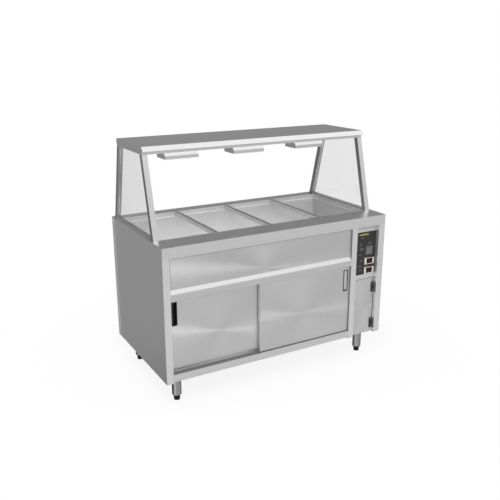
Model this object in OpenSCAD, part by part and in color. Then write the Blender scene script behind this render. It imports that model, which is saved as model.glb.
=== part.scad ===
// Hot cupboard: heated cabinet with sliding doors, a four-pan well bench and a glazed lamp gantry.
// Millimetres. X runs to the right, Y to the back, Z up, with the origin on the floor under the bench centre.

/* [Cabinet] */
// Width over the bench
body_w = 1430; // [1340:10:1600]
// Depth over the bench
body_d = 760; // [720:10:860]
// Height of the bench above the floor
bench_h = 900; // [890:5:960]
// Height of the lower edges of the side panels above the floor
leg_h = 150; // [130:5:160]
// Thickness of the casing sheet
sheet = 1.5; // [1.2:0.1:2]
// Depth of the bench's turned-down apron
apron_h = 60; // [45:1:75]
// How far the bench's rear apron stands out behind the rear panel
rear_overhang = 5; // [3:0.5:10]
// Width of the rear panel's returns round the side panels
rear_return = 31; // [20:1:50]
// Width of the stile at the left side
left_stile_w = 39; // [36:1:50]
// Width of the stile at the right side
right_stile_w = 43; // [38:1:50]
// Width of the stile between the doors and the controls
centre_stile_w = 38; // [34:1:50]
// Depth of the returns that the doors slide between
jamb_d = 62; // [60:1:70]
// Height of the base pan above the lower edges of the side panels
base_lift = 8; // [4:1:12]

/* [Well] */
// Width of the bench in front of the well
front_ledge = 145; // [120:1:170]
// Width of the bench behind the well
rear_rim = 78; // [60:1:95]
// Width of the bench at each side of the well
side_rim = 43; // [42:1:55]
// Depth of the well's floor below the bench
well_depth = 170; // [150:1:180]
// Depth of the step that carries the divider bars below the bench
ledge_drop = 24; // [18:1:32]
// Width of that step
ledge_w = 14; // [10:1:22]
// Width of the tank's rim under the bench
tank_rim = 12; // [8:1:20]
// Width of a divider bar
bar_w = 20; // [14:1:30]
// Gap between a divider bar's ends and the well
bar_gap = 0.5; // [0.3:0.1:2]

/* [Front] */
// Distance from the well's underside down to the top of the sloping ledge
ledge_under_well = 57.5; // [50:0.5:65]
// Height of the mid rail's upright face
mid_rail_h = 33; // [25:1:40]
// Height of the sloping ledge above it
slope_h = 22; // [15:1:26]
// How far the upper front panel is set back
panel_recess = 10; // [7:0.5:12]
// How far the upper front panel reaches up behind the apron
panel_tuck = 15; // [8:1:25]
// Height of the bottom rail
bottom_rail_h = 42; // [36:1:50]

/* [Doors] */
// Thickness of a door
door_t = 22; // [20:0.5:24]
// Gap between the two doors
door_gap = 4; // [3.5:0.5:5]
// How far the front door is set back from the front frame
door_recess = 10; // [8:0.5:11]
// Width over which the closed doors overlap
door_overlap = 86; // [60:1:110]
// Gap between a closed door and its jamb
door_side_gap = 1; // [0.5:0.1:3]
// Gap between the doors and the sill
door_sill_gap = 2; // [1:0.1:4]
// Height of a door that is hidden by the mid rail
door_rise = 19; // [16:1:20]
// Thickness of a door's skins
door_skin = 1.2; // [1:0.1:1.5]
// Height of the solid bar along a door's lower edge
door_foot = 14; // [13:0.5:20]
// Height of the guide fins on the sill
fin_h = 10; // [6:0.5:10]
// Thickness of the guide fins
fin_t = 2; // [1.5:0.1:3]
// Gap between a fin and the groove that runs over it
fin_gap = 1.2; // [0.5:0.1:2]

/* [Door rollers] */
// Diameter of a roller
roller_d = 22; // [18:0.5:24]
// Width of a roller
roller_w = 7; // [5:0.5:8]
// Diameter of a roller's pin
roller_pin_d = 6; // [4:0.5:8]
// Radial clearance of every running fit
run_gap = 0.05; // [0.03:0.01:0.1]
// Distance from a door's edge to its roller
roller_inset = 90; // [60:1:150]
// Width of a hanger
hanger_w = 40; // [30:1:60]
// Thickness of a hanger
hanger_t = 3; // [2:0.5:3]
// Distance from a door's front face to its hangers
hanger_in = 8; // [7:0.5:8.5]
// Height of the track's upper face above the doors
track_lift = 11; // [8:0.5:14]
// Thickness of the track
track_t = 2; // [1.5:0.1:2.5]

/* [Handles] */
// Width of a handle's flange
handle_w = 32; // [28:1:40]
// Height of a handle's flange
handle_h = 132; // [110:1:160]
// Depth of a handle's cup
handle_d = 14; // [10:0.5:16]
// Width of a handle's flange around the cup
handle_rim = 3; // [2:0.5:4]
// Thickness of a handle's flange
handle_flange = 1.5; // [1:0.1:2]
// Wall thickness of a handle's cup
handle_wall = 1.5; // [1:0.1:2]
// Distance from a door's outer edge to its handle
handle_inset = 14; // [8:0.5:20]
// Distance from the mid rail down to the handles
handle_drop = 23; // [15:1:60]

/* [Controls] */
// Width of the control column
control_w = 160; // [155:1:190]
// Depth of the control column behind the front frame
control_recess = 22; // [20:0.5:26]
// Distance from the apron down to the control panel's lower edge
control_drop = 331; // [325:1:360]
// Height of the raised strip along that edge
strip_h = 22; // [15:1:26]
// Thickness of the raised strip
strip_t = 2; // [1:0.5:3]
// Distance from the apron down to the overlay
label_drop = 36; // [25:1:45]
// Height of the overlay
label_h = 266; // [262:1:268]
// Thickness of the overlay
label_t = 0.5; // [0.3:0.1:1]
// Gap between the overlay and the sides of the column
label_gap = 1; // [0.5:0.1:3]
// Width of the switch's bezel
switch_w = 49; // [44:1:52]
// Height of the switch's bezel
switch_h = 53; // [48:1:56]
// Distance from the right stile to the switch's centre
switch_x = 52; // [48:1:60]
// Distance from the apron down to the switch's centre
switch_drop = 152; // [120:1:160]
// Width of a controller's flange
controller_w = 70; // [66:1:76]
// Height of a controller's flange
controller_h = 38; // [36:1:40]
// Distance from the right stile to the controllers' centres
controller_x = 47; // [45:1:60]
// Distance from the apron down to the upper controller's centre
upper_controller_drop = 221; // [212:1:226]
// Distance from the apron down to the lower controller's centre
lower_controller_drop = 280; // [276:1:281]
// Travel of a controller's button
button_travel = 1; // [0.5:0.1:1.5]

/* [Access door] */
// Thickness of the access door
access_t = 18; // [14:0.5:20]
// Gap around the access door
access_gap = 3; // [2.5:0.1:4]
// Height of a hinge
hinge_h = 62; // [50:1:80]
// Height of the lower hinge's lower end above the door's lower edge
hinge_low = 26; // [15:1:50]
// Distance from the door's upper edge down to the upper hinge
hinge_high = 31; // [15:1:50]
// Diameter of a hinge's knuckles
knuckle_d = 7; // [6:0.5:7.5]
// Diameter of a hinge's pin
hinge_pin_d = 3; // [2.5:0.1:4]
// Thickness of a hinge's leaves
leaf_t = 2; // [1.5:0.1:2.5]
// Width of a hinge's leaves
leaf_w = 14; // [10:0.5:15]

/* [Legs] */
// Distance from the bench's side to a leg's centre
leg_inset_x = 93; // [75:1:120]
// Distance from the bench's front or back to a leg's centre
leg_inset_y = 96; // [90:1:130]
// Diameter of a leg
leg_d = 52; // [38:1:60]
// Wall thickness of a leg
leg_wall = 1.5; // [1.2:0.1:3]
// Width of a leg's fixing plate
plate_w = 90; // [70:1:110]
// Thickness of a leg's fixing plate
plate_t = 4; // [3:0.5:6]
// Height of a leg's lower end above the floor
foot_h = 33; // [28:1:45]
// Diameter of a foot's base
foot_d = 34; // [28:1:36]
// Height of a foot's straight base
foot_base_h = 18; // [12:1:22]
// Diameter of a foot's stem
stem_d = 12; // [10:1:16]

/* [Gantry] */
// Height of the gantry's shelf above the bench
gantry_rise = 470; // [400:5:550]
// Distance from the bench's side to the shelf's end
shelf_inset = 10.5; // [6:0.5:11]
// Depth of the shelf's flat top
shelf_d = 383; // [350:1:420]
// Distance from the bench's middle back to the gantry's middle
gantry_y = 58; // [45:1:65]
// Depth over the posts at the bench
gantry_d = 598; // [580:1:610]
// Width of a post
post_w = 30; // [25:1:30]
// Depth of a post, along the bench
post_dy = 31; // [25:1:36]
// Height of the frame under the shelf
frame_h = 40; // [30:1:50]
// Width of the frame's flanges
flange_w = 30; // [20:1:40]
// Height of the shelf's turned-down edges
lip_h = 25; // [18:1:30]
// Height of the shelf's sloping nose
nose_h = 23; // [18:1:25]
// Reach of the shelf's sloping nose
nose_d = 20; // [14:1:26]
// Thickness of the side glass
glass_t = 6; // [4:0.5:7]
// Gap between the glass and the posts
glass_gap = 0.8; // [0.5:0.1:2]
// Width of the channels that the glass stands in
channel_w = 12; // [11:0.5:16]
// Height of those channels
channel_h = 11; // [8:0.5:16]

/* [Lamps] */
// Distance between the lamps
lamp_pitch = 420; // [350:5:430]
// Length of a lamp's hood
lamp_len = 200; // [160:5:260]
// Depth of a lamp's hood
lamp_d = 117; // [100:1:130]
// Distance from the gantry's middle back to the lamps' middle
lamp_back = 5.5; // [0:0.5:20]
// Distance from the shelf down to a lamp's lower edge
lamp_drop = 100; // [85:1:130]
// Height of a hood's upright skirt
skirt_h = 18; // [12:1:24]
// Height of a hood's sloping sides
hood_h = 30; // [22:1:36]
// Diameter of a lamp's tube
tube_d = 10; // [8:0.5:14]
// Height of a lamp's tube above the hood's lower edge
tube_rise = 26; // [22:1:28]

/* [Cupboard] */
// Distance from the well's underside down to the cupboard's ceiling
ceiling_gap = 28.5; // [20:0.5:29]
// Distance from the liner's rear wall to the bench's back
liner_inset = 40; // [25:1:60]
// Height of the cupboard's shelf above the sill
cupboard_shelf_rise = 200; // [120:5:280]
// Width of the legs of the angles that carry the shelf and the floor
angle_w = 15; // [12:1:16]
// Thickness of those angles
angle_t = 2; // [1.5:0.1:3]
// Gap around the shelf and the floor
deck_gap = 1; // [0.5:0.1:3]

/* [Heating] */
// Diameter of a heating element
element_d = 8; // [6:0.5:9]
// Distance between the legs of the well's element
well_element_span = 300; // [200:5:380]
// Distance between the legs of the cupboard's element
cupboard_element_span = 260; // [200:5:400]
// Distance from the cupboard's left wall to an element's bend
element_inset = 80; // [50:5:200]
// Height of the cupboard's element above the base pan
element_lift = 14; // [10:0.5:15]
// Diameter of a temperature probe
probe_d = 6; // [4:0.5:8]

/* [Hidden] */
$fn = 48;
// Overrun of every cut past the face it opens
over = 1;
// Gap between a moving piece and the flat or round seat it hovers over
hover = 0.3;

// Main planes
half_w = body_w / 2;
half_d = body_d / 2;
front_y = -half_d;
rear_y = half_d - rear_overhang;
apron_z = bench_h - apron_h;
left_x = -half_w + left_stile_w;
right_x = half_w - right_stile_w;
column_x = right_x - control_w;
opening_x = column_x - centre_stile_w;
jamb_y = front_y + jamb_d;
base_z = leg_h + base_lift;
floor_z = base_z + sheet;
sill_z = base_z + bottom_rail_h;

// Well
pan_places = 4;
well_x = half_w - side_rim;
well_front = front_y + front_ledge;
well_rear = half_d - rear_rim;
well_mid_y = (well_front + well_rear) / 2;
ledge_z = bench_h - ledge_drop;
well_z = bench_h - well_depth;
tank_under_z = well_z - sheet;
ceiling_z = tank_under_z - ceiling_gap;

// Front frame
panel_y = front_y + panel_recess;
panel_z = tank_under_z - ledge_under_well;
slope_z = panel_z - slope_h;
mid_rail_z = slope_z - mid_rail_h;
sill_d = door_recess + 2 * door_t + door_gap + sheet + sheet;
sill_rear = front_y + sill_d + sheet;
tab_y = panel_y + sheet;
rail_return = 7;
tab_rise = 4;

// Doors
door_w = (opening_x - left_x + door_overlap) / 2 - door_side_gap;
front_door_y = front_y + door_recess;
rear_door_y = front_door_y + door_t + door_gap;
door_z = sill_z + door_sill_gap;
door_top = mid_rail_z + door_rise;
left_door_x = left_x + door_side_gap;
right_door_x = opening_x - door_side_gap - door_w;
groove_w = fin_t + 2 * fin_gap;
groove_d = fin_h - door_sill_gap + fin_gap;

// Door rollers
track_z = door_top + track_lift;
roller_z = track_z + hover + roller_d / 2;
roller_in = hanger_in + hanger_t + hover;
web_in = roller_in + roller_w + hover;
hanger_top = roller_z + roller_d / 2;
roller_bevel = 1;

// Handles
handle_top = mid_rail_z - handle_drop;
handle_z = handle_top - handle_h;
handle_fit = 0.3;
handle_shallow = 1;
left_handle_x = left_door_x + handle_inset + handle_w / 2;
right_handle_x = right_door_x + door_w - handle_inset - handle_w / 2;

// Controls
control_y = front_y + control_recess;
control_z = apron_z - control_drop;
label_z = apron_z - label_drop - label_h;
switch_z = apron_z - switch_drop;
upper_controller_z = apron_z - upper_controller_drop;
lower_controller_z = apron_z - lower_controller_drop;
label_y = control_y - label_t;
switch_cx = right_x - switch_x;
switch_rim = 2.5;
switch_bezel_t = 2.5;
switch_body_d = 30;
switch_wall = 1.5;
switch_fit = 0.5;
rocker_front = 6.5;
rocker_dip = 2.5;
rocker_back = 4;
rocker_pin_d = 3;
rocker_tilt = 7;
rocker_y = label_y - switch_bezel_t + rocker_front - rocker_dip;
controller_cx = right_x - controller_x;
controller_t = 4;
controller_rim = 3.5;
controller_body_d = 55;
window_w = 42;
window_h = 26;
window_d = 1;
button_w = 8;
button_h = 22;
button_fit = 0.3;
button_rise = 1.2;
button_depth = 4.5;
button_in = 1.85;
button_cx = (controller_w + window_w) / 4 - button_in;

// Access door
access_x = column_x + access_gap;
access_w = control_w - 2 * access_gap;
access_top = control_z - access_gap;
hinge_x = right_x - knuckle_d / 2 - hover;
hinge_y = control_y - knuckle_d / 2 - hover;
lower_hinge_z = leg_h + hinge_low;
upper_hinge_z = access_top - hinge_high - hinge_h;
hinge_head_h = 1.5;
hinge_head_d = 5;

// Legs and feet
leg_x = half_w - leg_inset_x;
leg_y = half_d - leg_inset_y;
plug_h = 12;
stem_rise = 30;

// Gantry
shelf_h = bench_h + gantry_rise;
shelf_w = body_w - 2 * shelf_inset;
frame_z = shelf_h - sheet - frame_h;
frame_x = shelf_w / 2 - sheet;
frame_half = shelf_d / 2 - sheet;
shelf_front = gantry_y - shelf_d / 2;
shelf_back = gantry_y + shelf_d / 2;
frame_front = gantry_y - frame_half;
post_run = (gantry_d / 2 - frame_half) / (frame_z - bench_h);
post_wall_y = sheet * sqrt(1 + post_run * post_run);
nose_len = norm([nose_d, nose_h]);
nose_wall_y = sheet * nose_len / nose_h;
nose_wall_z = sheet * nose_len / nose_d;
nose_z = shelf_h - nose_h;
post_x = frame_x - post_w / 2;
glass_z = bench_h + sheet;

// Lamps
lamp_y = gantry_y + lamp_back;
lamp_z = shelf_h - lamp_drop;
neck_w = lamp_d - 2 * hood_h;
neck_len = 120;
hood_top = lamp_z + skirt_h + hood_h;
hood_bend = sheet * tan(22.5);
holder_t = 8;
holder_w = 20;
holder_h = 24;
holder_bore = 6;
holder_fit = 0.1;
tube_z = lamp_z + tube_rise;
holder_x = lamp_len / 2 - sheet - holder_t;

// Cupboard
cupboard_shelf_z = sill_z + cupboard_shelf_rise;
liner_y = half_d - liner_inset;
partition_x = opening_x + sheet;
control_side_x = partition_x + sheet;
partition_lap = 12;
deck_front = sill_rear + deck_gap;
shelf_fold = 20;
shelf_front_gap = 12;
vent_w = 6;
vent_len = 200;
vent_pitch = 60;
vent_count = 8;

// Heating
well_element_z = tank_under_z - hover - element_d / 2;
cupboard_element_z = floor_z + element_lift;
element_tail = 25;
element_mid_y = (deck_front + liner_y) / 2;
element_end_x = left_x + element_inset;
well_probe_z = tank_under_z - hover - probe_d / 2;
probe_inset = 140;
cupboard_probe_y = liner_y - probe_inset;
cupboard_probe_z = (cupboard_shelf_z + ceiling_z) / 2;
probe_reach = 40;

// Electrical
terminal_d = 22;
terminal_w = 120;
terminal_h = 36;
terminal_y = 20;
terminal_rise = 240;
terminal_z = floor_z + terminal_rise;
terminal_base = 8;
terminal_places = 6;
terminal_rib = 3;
gland_x = column_x + control_w / 2;
gland_inset = 200;
gland_y = half_d - gland_inset;
gland_d = 20;
gland_hex = 28;
gland_hex_h = 8;
gland_nut_d = 24;
gland_nut_h = 18;
gland_nut_tip = 18;
gland_bore = 10;
gland_rise = 14;
gland_lock_h = 6;

// Fasteners
screw_d = 4;
screw_head_d = 8;
screw_head_h = 1.6;
screw_len = 6;
screw_fit = 0.1;
panel_screw_inset = 13;
panel_screw_rise = 24;
panel_screw_z = panel_z + panel_screw_rise;
rear_screw_inset = 20;
rear_screw_end = 50;
rear_screw_rows = 3;

// A box between two opposite corners
module block(low, high) {
    translate(low) cube(high - low);
}

// A flat outline of Y and Z, drawn out along X
module along_x(from, to) {
    translate([from, 0, 0]) rotate([90, 0, 90]) linear_extrude(to - from) children();
}

// A round bar along X
module bar_x(from, to, y, z, d) {
    translate([from, y, z]) rotate([0, 90, 0]) cylinder(h = to - from, d = d);
}

// A round bar along Y
module bar_y(x, from, to, z, d) {
    translate([x, from, z]) rotate([-90, 0, 0]) cylinder(h = to - from, d = d);
}

// Flat top with the well's opening and an apron at the front and the back
module bench_top() {
    color("silver") difference() {
        block([-half_w, -half_d, apron_z], [half_w, half_d, bench_h]);
        block([-half_w - over, -half_d + sheet, apron_z - over],
              [half_w + over, half_d - sheet, bench_h - sheet]);
        block([-well_x, well_front, apron_z], [well_x, well_rear, bench_h + over]);
    }
}

module well_tank() {
    step_x = well_x - ledge_w;
    rim_x = well_x + tank_rim;
    rim_z = bench_h - sheet;
    color("lightgray") difference() {
        union() {
            block([-rim_x, well_front - tank_rim, rim_z - sheet], [rim_x, well_rear + tank_rim, rim_z]);
            block([-well_x - sheet, well_front - sheet, ledge_z - sheet],
                  [well_x + sheet, well_rear + sheet, rim_z]);
            block([-step_x - sheet, well_front + ledge_w - sheet, tank_under_z],
                  [step_x + sheet, well_rear - ledge_w + sheet, ledge_z]);
        }
        block([-well_x, well_front, ledge_z], [well_x, well_rear, bench_h]);
        block([-step_x, well_front + ledge_w, well_z], [step_x, well_rear - ledge_w, bench_h]);
    }
}

// Places of the divider bars
function bar_places() = [for (i = [1 : pan_places - 1]) i * 2 * well_x / pan_places - well_x];

// An inverted channel across the well, seated on the tank's step
module divider_bar(x) {
    front = well_front + bar_gap;
    rear = well_rear - bar_gap;
    half = bar_w / 2;
    color("darkgray") difference() {
        block([x - half, front, ledge_z], [x + half, rear, bench_h]);
        block([x - half + sheet, front - over, ledge_z - over],
              [x + half - sheet, rear + over, bench_h - sheet]);
    }
}

module side_panel_left() {
    color("silver") union() {
        block([-half_w, front_y + sheet, leg_h], [-half_w + sheet, rear_y - sheet, bench_h - sheet]);
        block([-half_w, front_y, leg_h], [left_x, front_y + sheet, apron_z]);
        block([left_x - sheet, front_y, leg_h], [left_x, jamb_y, apron_z]);
    }
}

module side_panel_right() {
    color("silver") union() {
        block([half_w - sheet, front_y + sheet, leg_h], [half_w, rear_y - sheet, bench_h - sheet]);
        block([right_x, front_y, leg_h], [half_w, front_y + sheet, apron_z]);
        block([right_x, front_y, leg_h], [right_x + sheet, control_y + sheet, apron_z]);
    }
}

// Places of the rear panel's screws
function rear_screw_places() = [
    for (side = [-1, 1], row = [0 : rear_screw_rows - 1])
        [side * (half_w - rear_screw_inset),
         leg_h + rear_screw_end + row * (apron_z - leg_h - 2 * rear_screw_end) / (rear_screw_rows - 1)]
];

// Flat back, folded round the rear edges of the side panels
module rear_panel() {
    color("silver") difference() {
        union() {
            block([-half_w - sheet, rear_y - sheet, leg_h], [half_w + sheet, rear_y, apron_z]);
            for (x = [-half_w - sheet, half_w])
                block([x, rear_y - rear_return, leg_h], [x + sheet, rear_y, bench_h - sheet]);
        }
        for (place = rear_screw_places())
            bar_y(place.x, rear_y - sheet - over, rear_y + over, place.y, screw_d + 2 * screw_fit);
    }
}

module base_pan() {
    color("gray") difference() {
        union() {
            block([-half_w + sheet, sill_rear, base_z], [half_w - sheet, rear_y - sheet, floor_z]);
            block([column_x, control_y + access_t + access_gap, base_z],
                  [half_w - sheet, sill_rear, floor_z]);
        }
        translate([gland_x, gland_y, base_z - over])
            cylinder(h = sheet + 2 * over, d = gland_d + 2 * screw_fit);
    }
}

module centre_stile() {
    color("silver") union() {
        block([opening_x, front_y, leg_h], [column_x, front_y + sheet, apron_z]);
        block([opening_x, front_y, leg_h], [opening_x + sheet, jamb_y, apron_z]);
        block([column_x - sheet, front_y, leg_h], [column_x, control_y + sheet, apron_z]);
    }
}

// Places of the screws at the ends of the upper front panel
function panel_screw_places() = [left_x + panel_screw_inset, opening_x - panel_screw_inset];

module upper_front_panel() {
    color("silver") difference() {
        block([left_x, panel_y, panel_z], [opening_x, panel_y + sheet, apron_z + panel_tuck]);
        for (x = panel_screw_places())
            bar_y(x, panel_y - over, panel_y + sheet + over, panel_screw_z, screw_d + 2 * screw_fit);
    }
}

// Upright face, sloping ledge, step for the upper panel and a drilled tab behind it
module mid_rail() {
    tab_top = ceiling_z + sheet + tab_rise;
    color("gainsboro") difference() {
        along_x(left_x, opening_x) polygon([
            [front_y, mid_rail_z], [front_y, slope_z], [panel_y, panel_z], [tab_y, panel_z],
            [tab_y, tab_top], [tab_y + sheet, tab_top], [tab_y + sheet, panel_z - sheet],
            [panel_y, panel_z - sheet - sheet], [front_y + sheet, slope_z - sheet],
            [front_y + sheet, mid_rail_z + sheet], [front_y + rail_return, mid_rail_z + sheet],
            [front_y + rail_return, mid_rail_z]
        ]);
        for (x = panel_screw_places())
            bar_y(x, tab_y - over, tab_y + sheet + over, panel_screw_z, screw_d + 2 * screw_fit);
    }
}

// Inverted channel with a guide fin under the middle of each door
module bottom_rail() {
    color("silver") union() {
        along_x(left_x, opening_x) polygon([
            [front_y, base_z], [front_y, sill_z], [sill_rear, sill_z], [sill_rear, base_z],
            [sill_rear - sheet, base_z], [sill_rear - sheet, sill_z - sheet],
            [front_y + sheet, sill_z - sheet], [front_y + sheet, base_z]
        ]);
        for (y = [front_door_y, rear_door_y])
            block([left_x, y + (door_t - fin_t) / 2, sill_z - sheet],
                  [opening_x, y + (door_t + fin_t) / 2, sill_z + fin_h]);
    }
}

// One rail for each door, under a common top plate
module door_track() {
    color("darkgray") union() {
        block([left_x, front_door_y + web_in, ceiling_z - track_t],
              [opening_x, rear_door_y + web_in + track_t, ceiling_z]);
        for (y = [front_door_y, rear_door_y]) {
            block([left_x, y + web_in, track_z - track_t], [opening_x, y + web_in + track_t, ceiling_z]);
            block([left_x, y + roller_in + hover, track_z - track_t],
                  [opening_x, y + web_in + track_t, track_z]);
        }
    }
}

module cupboard_liner() {
    color("lightgray") union() {
        block([left_x - sheet, jamb_y, floor_z], [left_x, liner_y + sheet, ceiling_z + sheet]);
        block([left_x - sheet, liner_y, floor_z], [partition_x, liner_y + sheet, ceiling_z + sheet]);
        block([left_x - sheet, jamb_y, ceiling_z], [partition_x, liner_y + sheet, ceiling_z + sheet]);
        block([left_x, tab_y + sheet, ceiling_z], [opening_x, jamb_y + sheet, ceiling_z + sheet]);
    }
}

// Legs of a heating element, from its middle
function leg_places(mid, span) = [mid - span / 2, mid + span / 2];

module partition() {
    from = partition_x - over;
    to = control_side_x + over;
    color("lightgray") difference() {
        block([partition_x, jamb_y - partition_lap, floor_z], [control_side_x, rear_y - sheet, tank_under_z]);
        for (y = leg_places(element_mid_y, cupboard_element_span))
            bar_x(from, to, y, cupboard_element_z, element_d + 2 * run_gap);
        bar_x(from, to, cupboard_probe_y, cupboard_probe_z, probe_d + 2 * run_gap);
        for (y = leg_places(well_mid_y, well_element_span))
            notch(y, well_element_z, element_d);
        notch(well_mid_y, well_probe_z, probe_d);
    }
}

// A round-bottomed notch in the partition's upper edge
module notch(y, z, d) {
    wide = d / 2 + run_gap;
    bar_x(partition_x - over, control_side_x + over, y, z, 2 * wide);
    block([partition_x - over, y - wide, z], [control_side_x + over, y + wide, tank_under_z + over]);
}

// Lift-out deck over the cupboard's element, level with the sill
module cupboard_floor() {
    first = left_x + (opening_x - left_x - (vent_count - 1) * vent_pitch) / 2;
    color("silver") difference() {
        block([left_x + deck_gap, deck_front, sill_z - sheet],
              [opening_x - deck_gap, liner_y - deck_gap, sill_z]);
        for (i = [0 : vent_count - 1])
            block([first + i * vent_pitch - vent_w / 2, element_mid_y - vent_len / 2, sill_z - sheet - over],
                  [first + i * vent_pitch + vent_w / 2, element_mid_y + vent_len / 2, sill_z + over]);
    }
}

module cupboard_shelf() {
    front = deck_front + shelf_front_gap;
    color("silver") union() {
        block([left_x + deck_gap, front, cupboard_shelf_z],
              [opening_x - deck_gap, liner_y - deck_gap, cupboard_shelf_z + sheet]);
        block([left_x + angle_w + deck_gap, front, cupboard_shelf_z - shelf_fold],
              [opening_x - angle_w - deck_gap, front + sheet, cupboard_shelf_z + sheet]);
    }
}

// Two angles under the shelf and two under the floor deck
module shelf_angles() {
    color("darkgray") for (top = [cupboard_shelf_z, sill_z - sheet]) {
        front = deck_front + shelf_front_gap;
        block([left_x, front, top - angle_w], [left_x + angle_t, liner_y, top]);
        block([left_x, front, top - angle_t], [left_x + angle_w, liner_y, top]);
        block([partition_x - angle_t, front, top - angle_w], [partition_x, liner_y, top]);
        block([partition_x - angle_w, front, top - angle_t], [partition_x, liner_y, top]);
    }
}

// Places of a door's rollers
function roller_places(x) = [x + roller_inset, x + door_w - roller_inset];

// A hollow door with a grooved foot, two hangers and the pocket for its handle
module door(x, y, handle_x) {
    pocket = handle_w / 2 - handle_rim;
    color("silver") difference() {
        union() {
            difference() {
                block([x, y, door_z], [x + door_w, y + door_t, door_top]);
                block([x + door_skin, y + door_skin, door_z + door_foot],
                      [x + door_w - door_skin, y + door_t - door_skin, door_top + over]);
            }
            for (place = roller_places(x))
                hanger(place, y);
        }
        block([x - over, y + (door_t - groove_w) / 2, door_z - over],
              [x + door_w + over, y + (door_t + groove_w) / 2, door_z + groove_d]);
        block([handle_x - pocket, y - over, handle_z + handle_rim],
              [handle_x + pocket, y + door_skin + over, handle_top - handle_rim]);
    }
}

// Block between the skins, upright plate and roller pin
module hanger(x, y) {
    half = hanger_w / 2;
    block([x - half, y, door_top - door_rise], [x + half, y + door_t, door_top]);
    block([x - half, y + hanger_in, door_top - door_rise], [x + half, y + hanger_in + hanger_t, hanger_top]);
    bar_y(x, y + hanger_in, y + roller_in + roller_w, roller_z, roller_pin_d);
}

module left_door() {
    door(left_door_x, rear_door_y, left_handle_x);
}

module right_door() {
    door(right_door_x, front_door_y, right_handle_x);
}

// A roller with bevelled rims
module roller(x, y) {
    r = roller_d / 2;
    bore = roller_pin_d / 2 + run_gap;
    color("ivory") translate([x, y + roller_in, roller_z]) rotate([-90, 0, 0]) rotate_extrude() polygon([
        [bore, 0], [r - roller_bevel, 0], [r, roller_bevel], [r, roller_w - roller_bevel],
        [r - roller_bevel, roller_w], [bore, roller_w]
    ]);
}

// A flush cup with a slanted floor; deep is the side that the fingers pull on
module handle(x, y, deep) {
    half = handle_w / 2;
    body = half - handle_rim - handle_fit;
    hollow = body - handle_wall;
    low = handle_z + handle_rim + handle_fit;
    high = handle_top - handle_rim - handle_fit;
    color("black") difference() {
        union() {
            block([x - half, y - handle_flange, handle_z], [x + half, y, handle_top]);
            block([x - body, y - handle_flange, low], [x + body, y + handle_d, high]);
        }
        translate([x, y, low + handle_wall]) linear_extrude(high - low - 2 * handle_wall) polygon([
            [-deep * hollow, -handle_flange - over], [deep * hollow, -handle_flange - over],
            [deep * hollow, handle_d - handle_wall], [-deep * hollow, handle_shallow]
        ]);
    }
}

module left_handle() {
    handle(left_handle_x, rear_door_y, 1);
}

module right_handle() {
    handle(right_handle_x, front_door_y, -1);
}

// Room for the switch's body
module switch_cut() {
    half_x = switch_w / 2 - switch_rim + switch_fit;
    half_z = switch_h / 2 - switch_rim + switch_fit;
    block([switch_cx - half_x, label_y - over, switch_z - half_z],
          [switch_cx + half_x, control_y + sheet + over, switch_z + half_z]);
}

// Room for a controller's body
module controller_cut(z) {
    half_x = controller_w / 2 - controller_rim + switch_fit;
    half_z = controller_h / 2 - controller_rim + switch_fit;
    block([controller_cx - half_x, label_y - over, z - half_z],
          [controller_cx + half_x, control_y + sheet + over, z + half_z]);
}

// Room for everything that passes through the control panel
module control_cuts() {
    switch_cut();
    controller_cut(upper_controller_z);
    controller_cut(lower_controller_z);
}

module control_panel() {
    color("gainsboro") difference() {
        union() {
            block([column_x, control_y, control_z], [right_x, control_y + sheet, apron_z + panel_tuck]);
            block([column_x, control_y - strip_t, control_z], [right_x, control_y, control_z + strip_h]);
        }
        control_cuts();
    }
}

module control_overlay() {
    color("dimgray") difference() {
        block([column_x + label_gap, label_y, label_z], [right_x - label_gap, control_y, label_z + label_h]);
        control_cuts();
    }
}

module switch_bezel() {
    half_x = switch_w / 2;
    half_z = switch_h / 2;
    body_x = half_x - switch_rim;
    body_z = half_z - switch_rim;
    hole_x = body_x - switch_wall;
    hole_z = body_z - switch_wall;
    front = label_y - switch_bezel_t;
    color("gray") difference() {
        union() {
            block([switch_cx - half_x, front, switch_z - half_z],
                  [switch_cx + half_x, label_y, switch_z + half_z]);
            block([switch_cx - body_x, front, switch_z - body_z],
                  [switch_cx + body_x, label_y + switch_body_d, switch_z + body_z]);
        }
        block([switch_cx - hole_x, front - over, switch_z - hole_z],
              [switch_cx + hole_x, label_y + switch_body_d - switch_wall, switch_z + hole_z]);
        bar_x(switch_cx - body_x - over, switch_cx + body_x + over, rocker_y, switch_z,
              rocker_pin_d + 2 * run_gap);
    }
}

// A dished rocker with its two pins, at rest with the lower half pressed
module switch_rocker() {
    half_x = switch_w / 2 - switch_rim - switch_wall - switch_fit;
    half_z = switch_h / 2 - switch_rim - switch_wall - 2 * switch_fit;
    pin_x = switch_w / 2 - switch_rim - switch_fit;
    color("darkgray") translate([switch_cx, rocker_y, switch_z]) rotate([rocker_tilt, 0, 0]) union() {
        along_x(-half_x, half_x) polygon([
            [-rocker_front, -half_z], [rocker_dip - rocker_front, 0], [-rocker_front, half_z],
            [rocker_back - rocker_dip, half_z], [rocker_back, 0], [rocker_back - rocker_dip, -half_z]
        ]);
        bar_x(-pin_x, pin_x, 0, 0, rocker_pin_d);
    }
}

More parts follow.
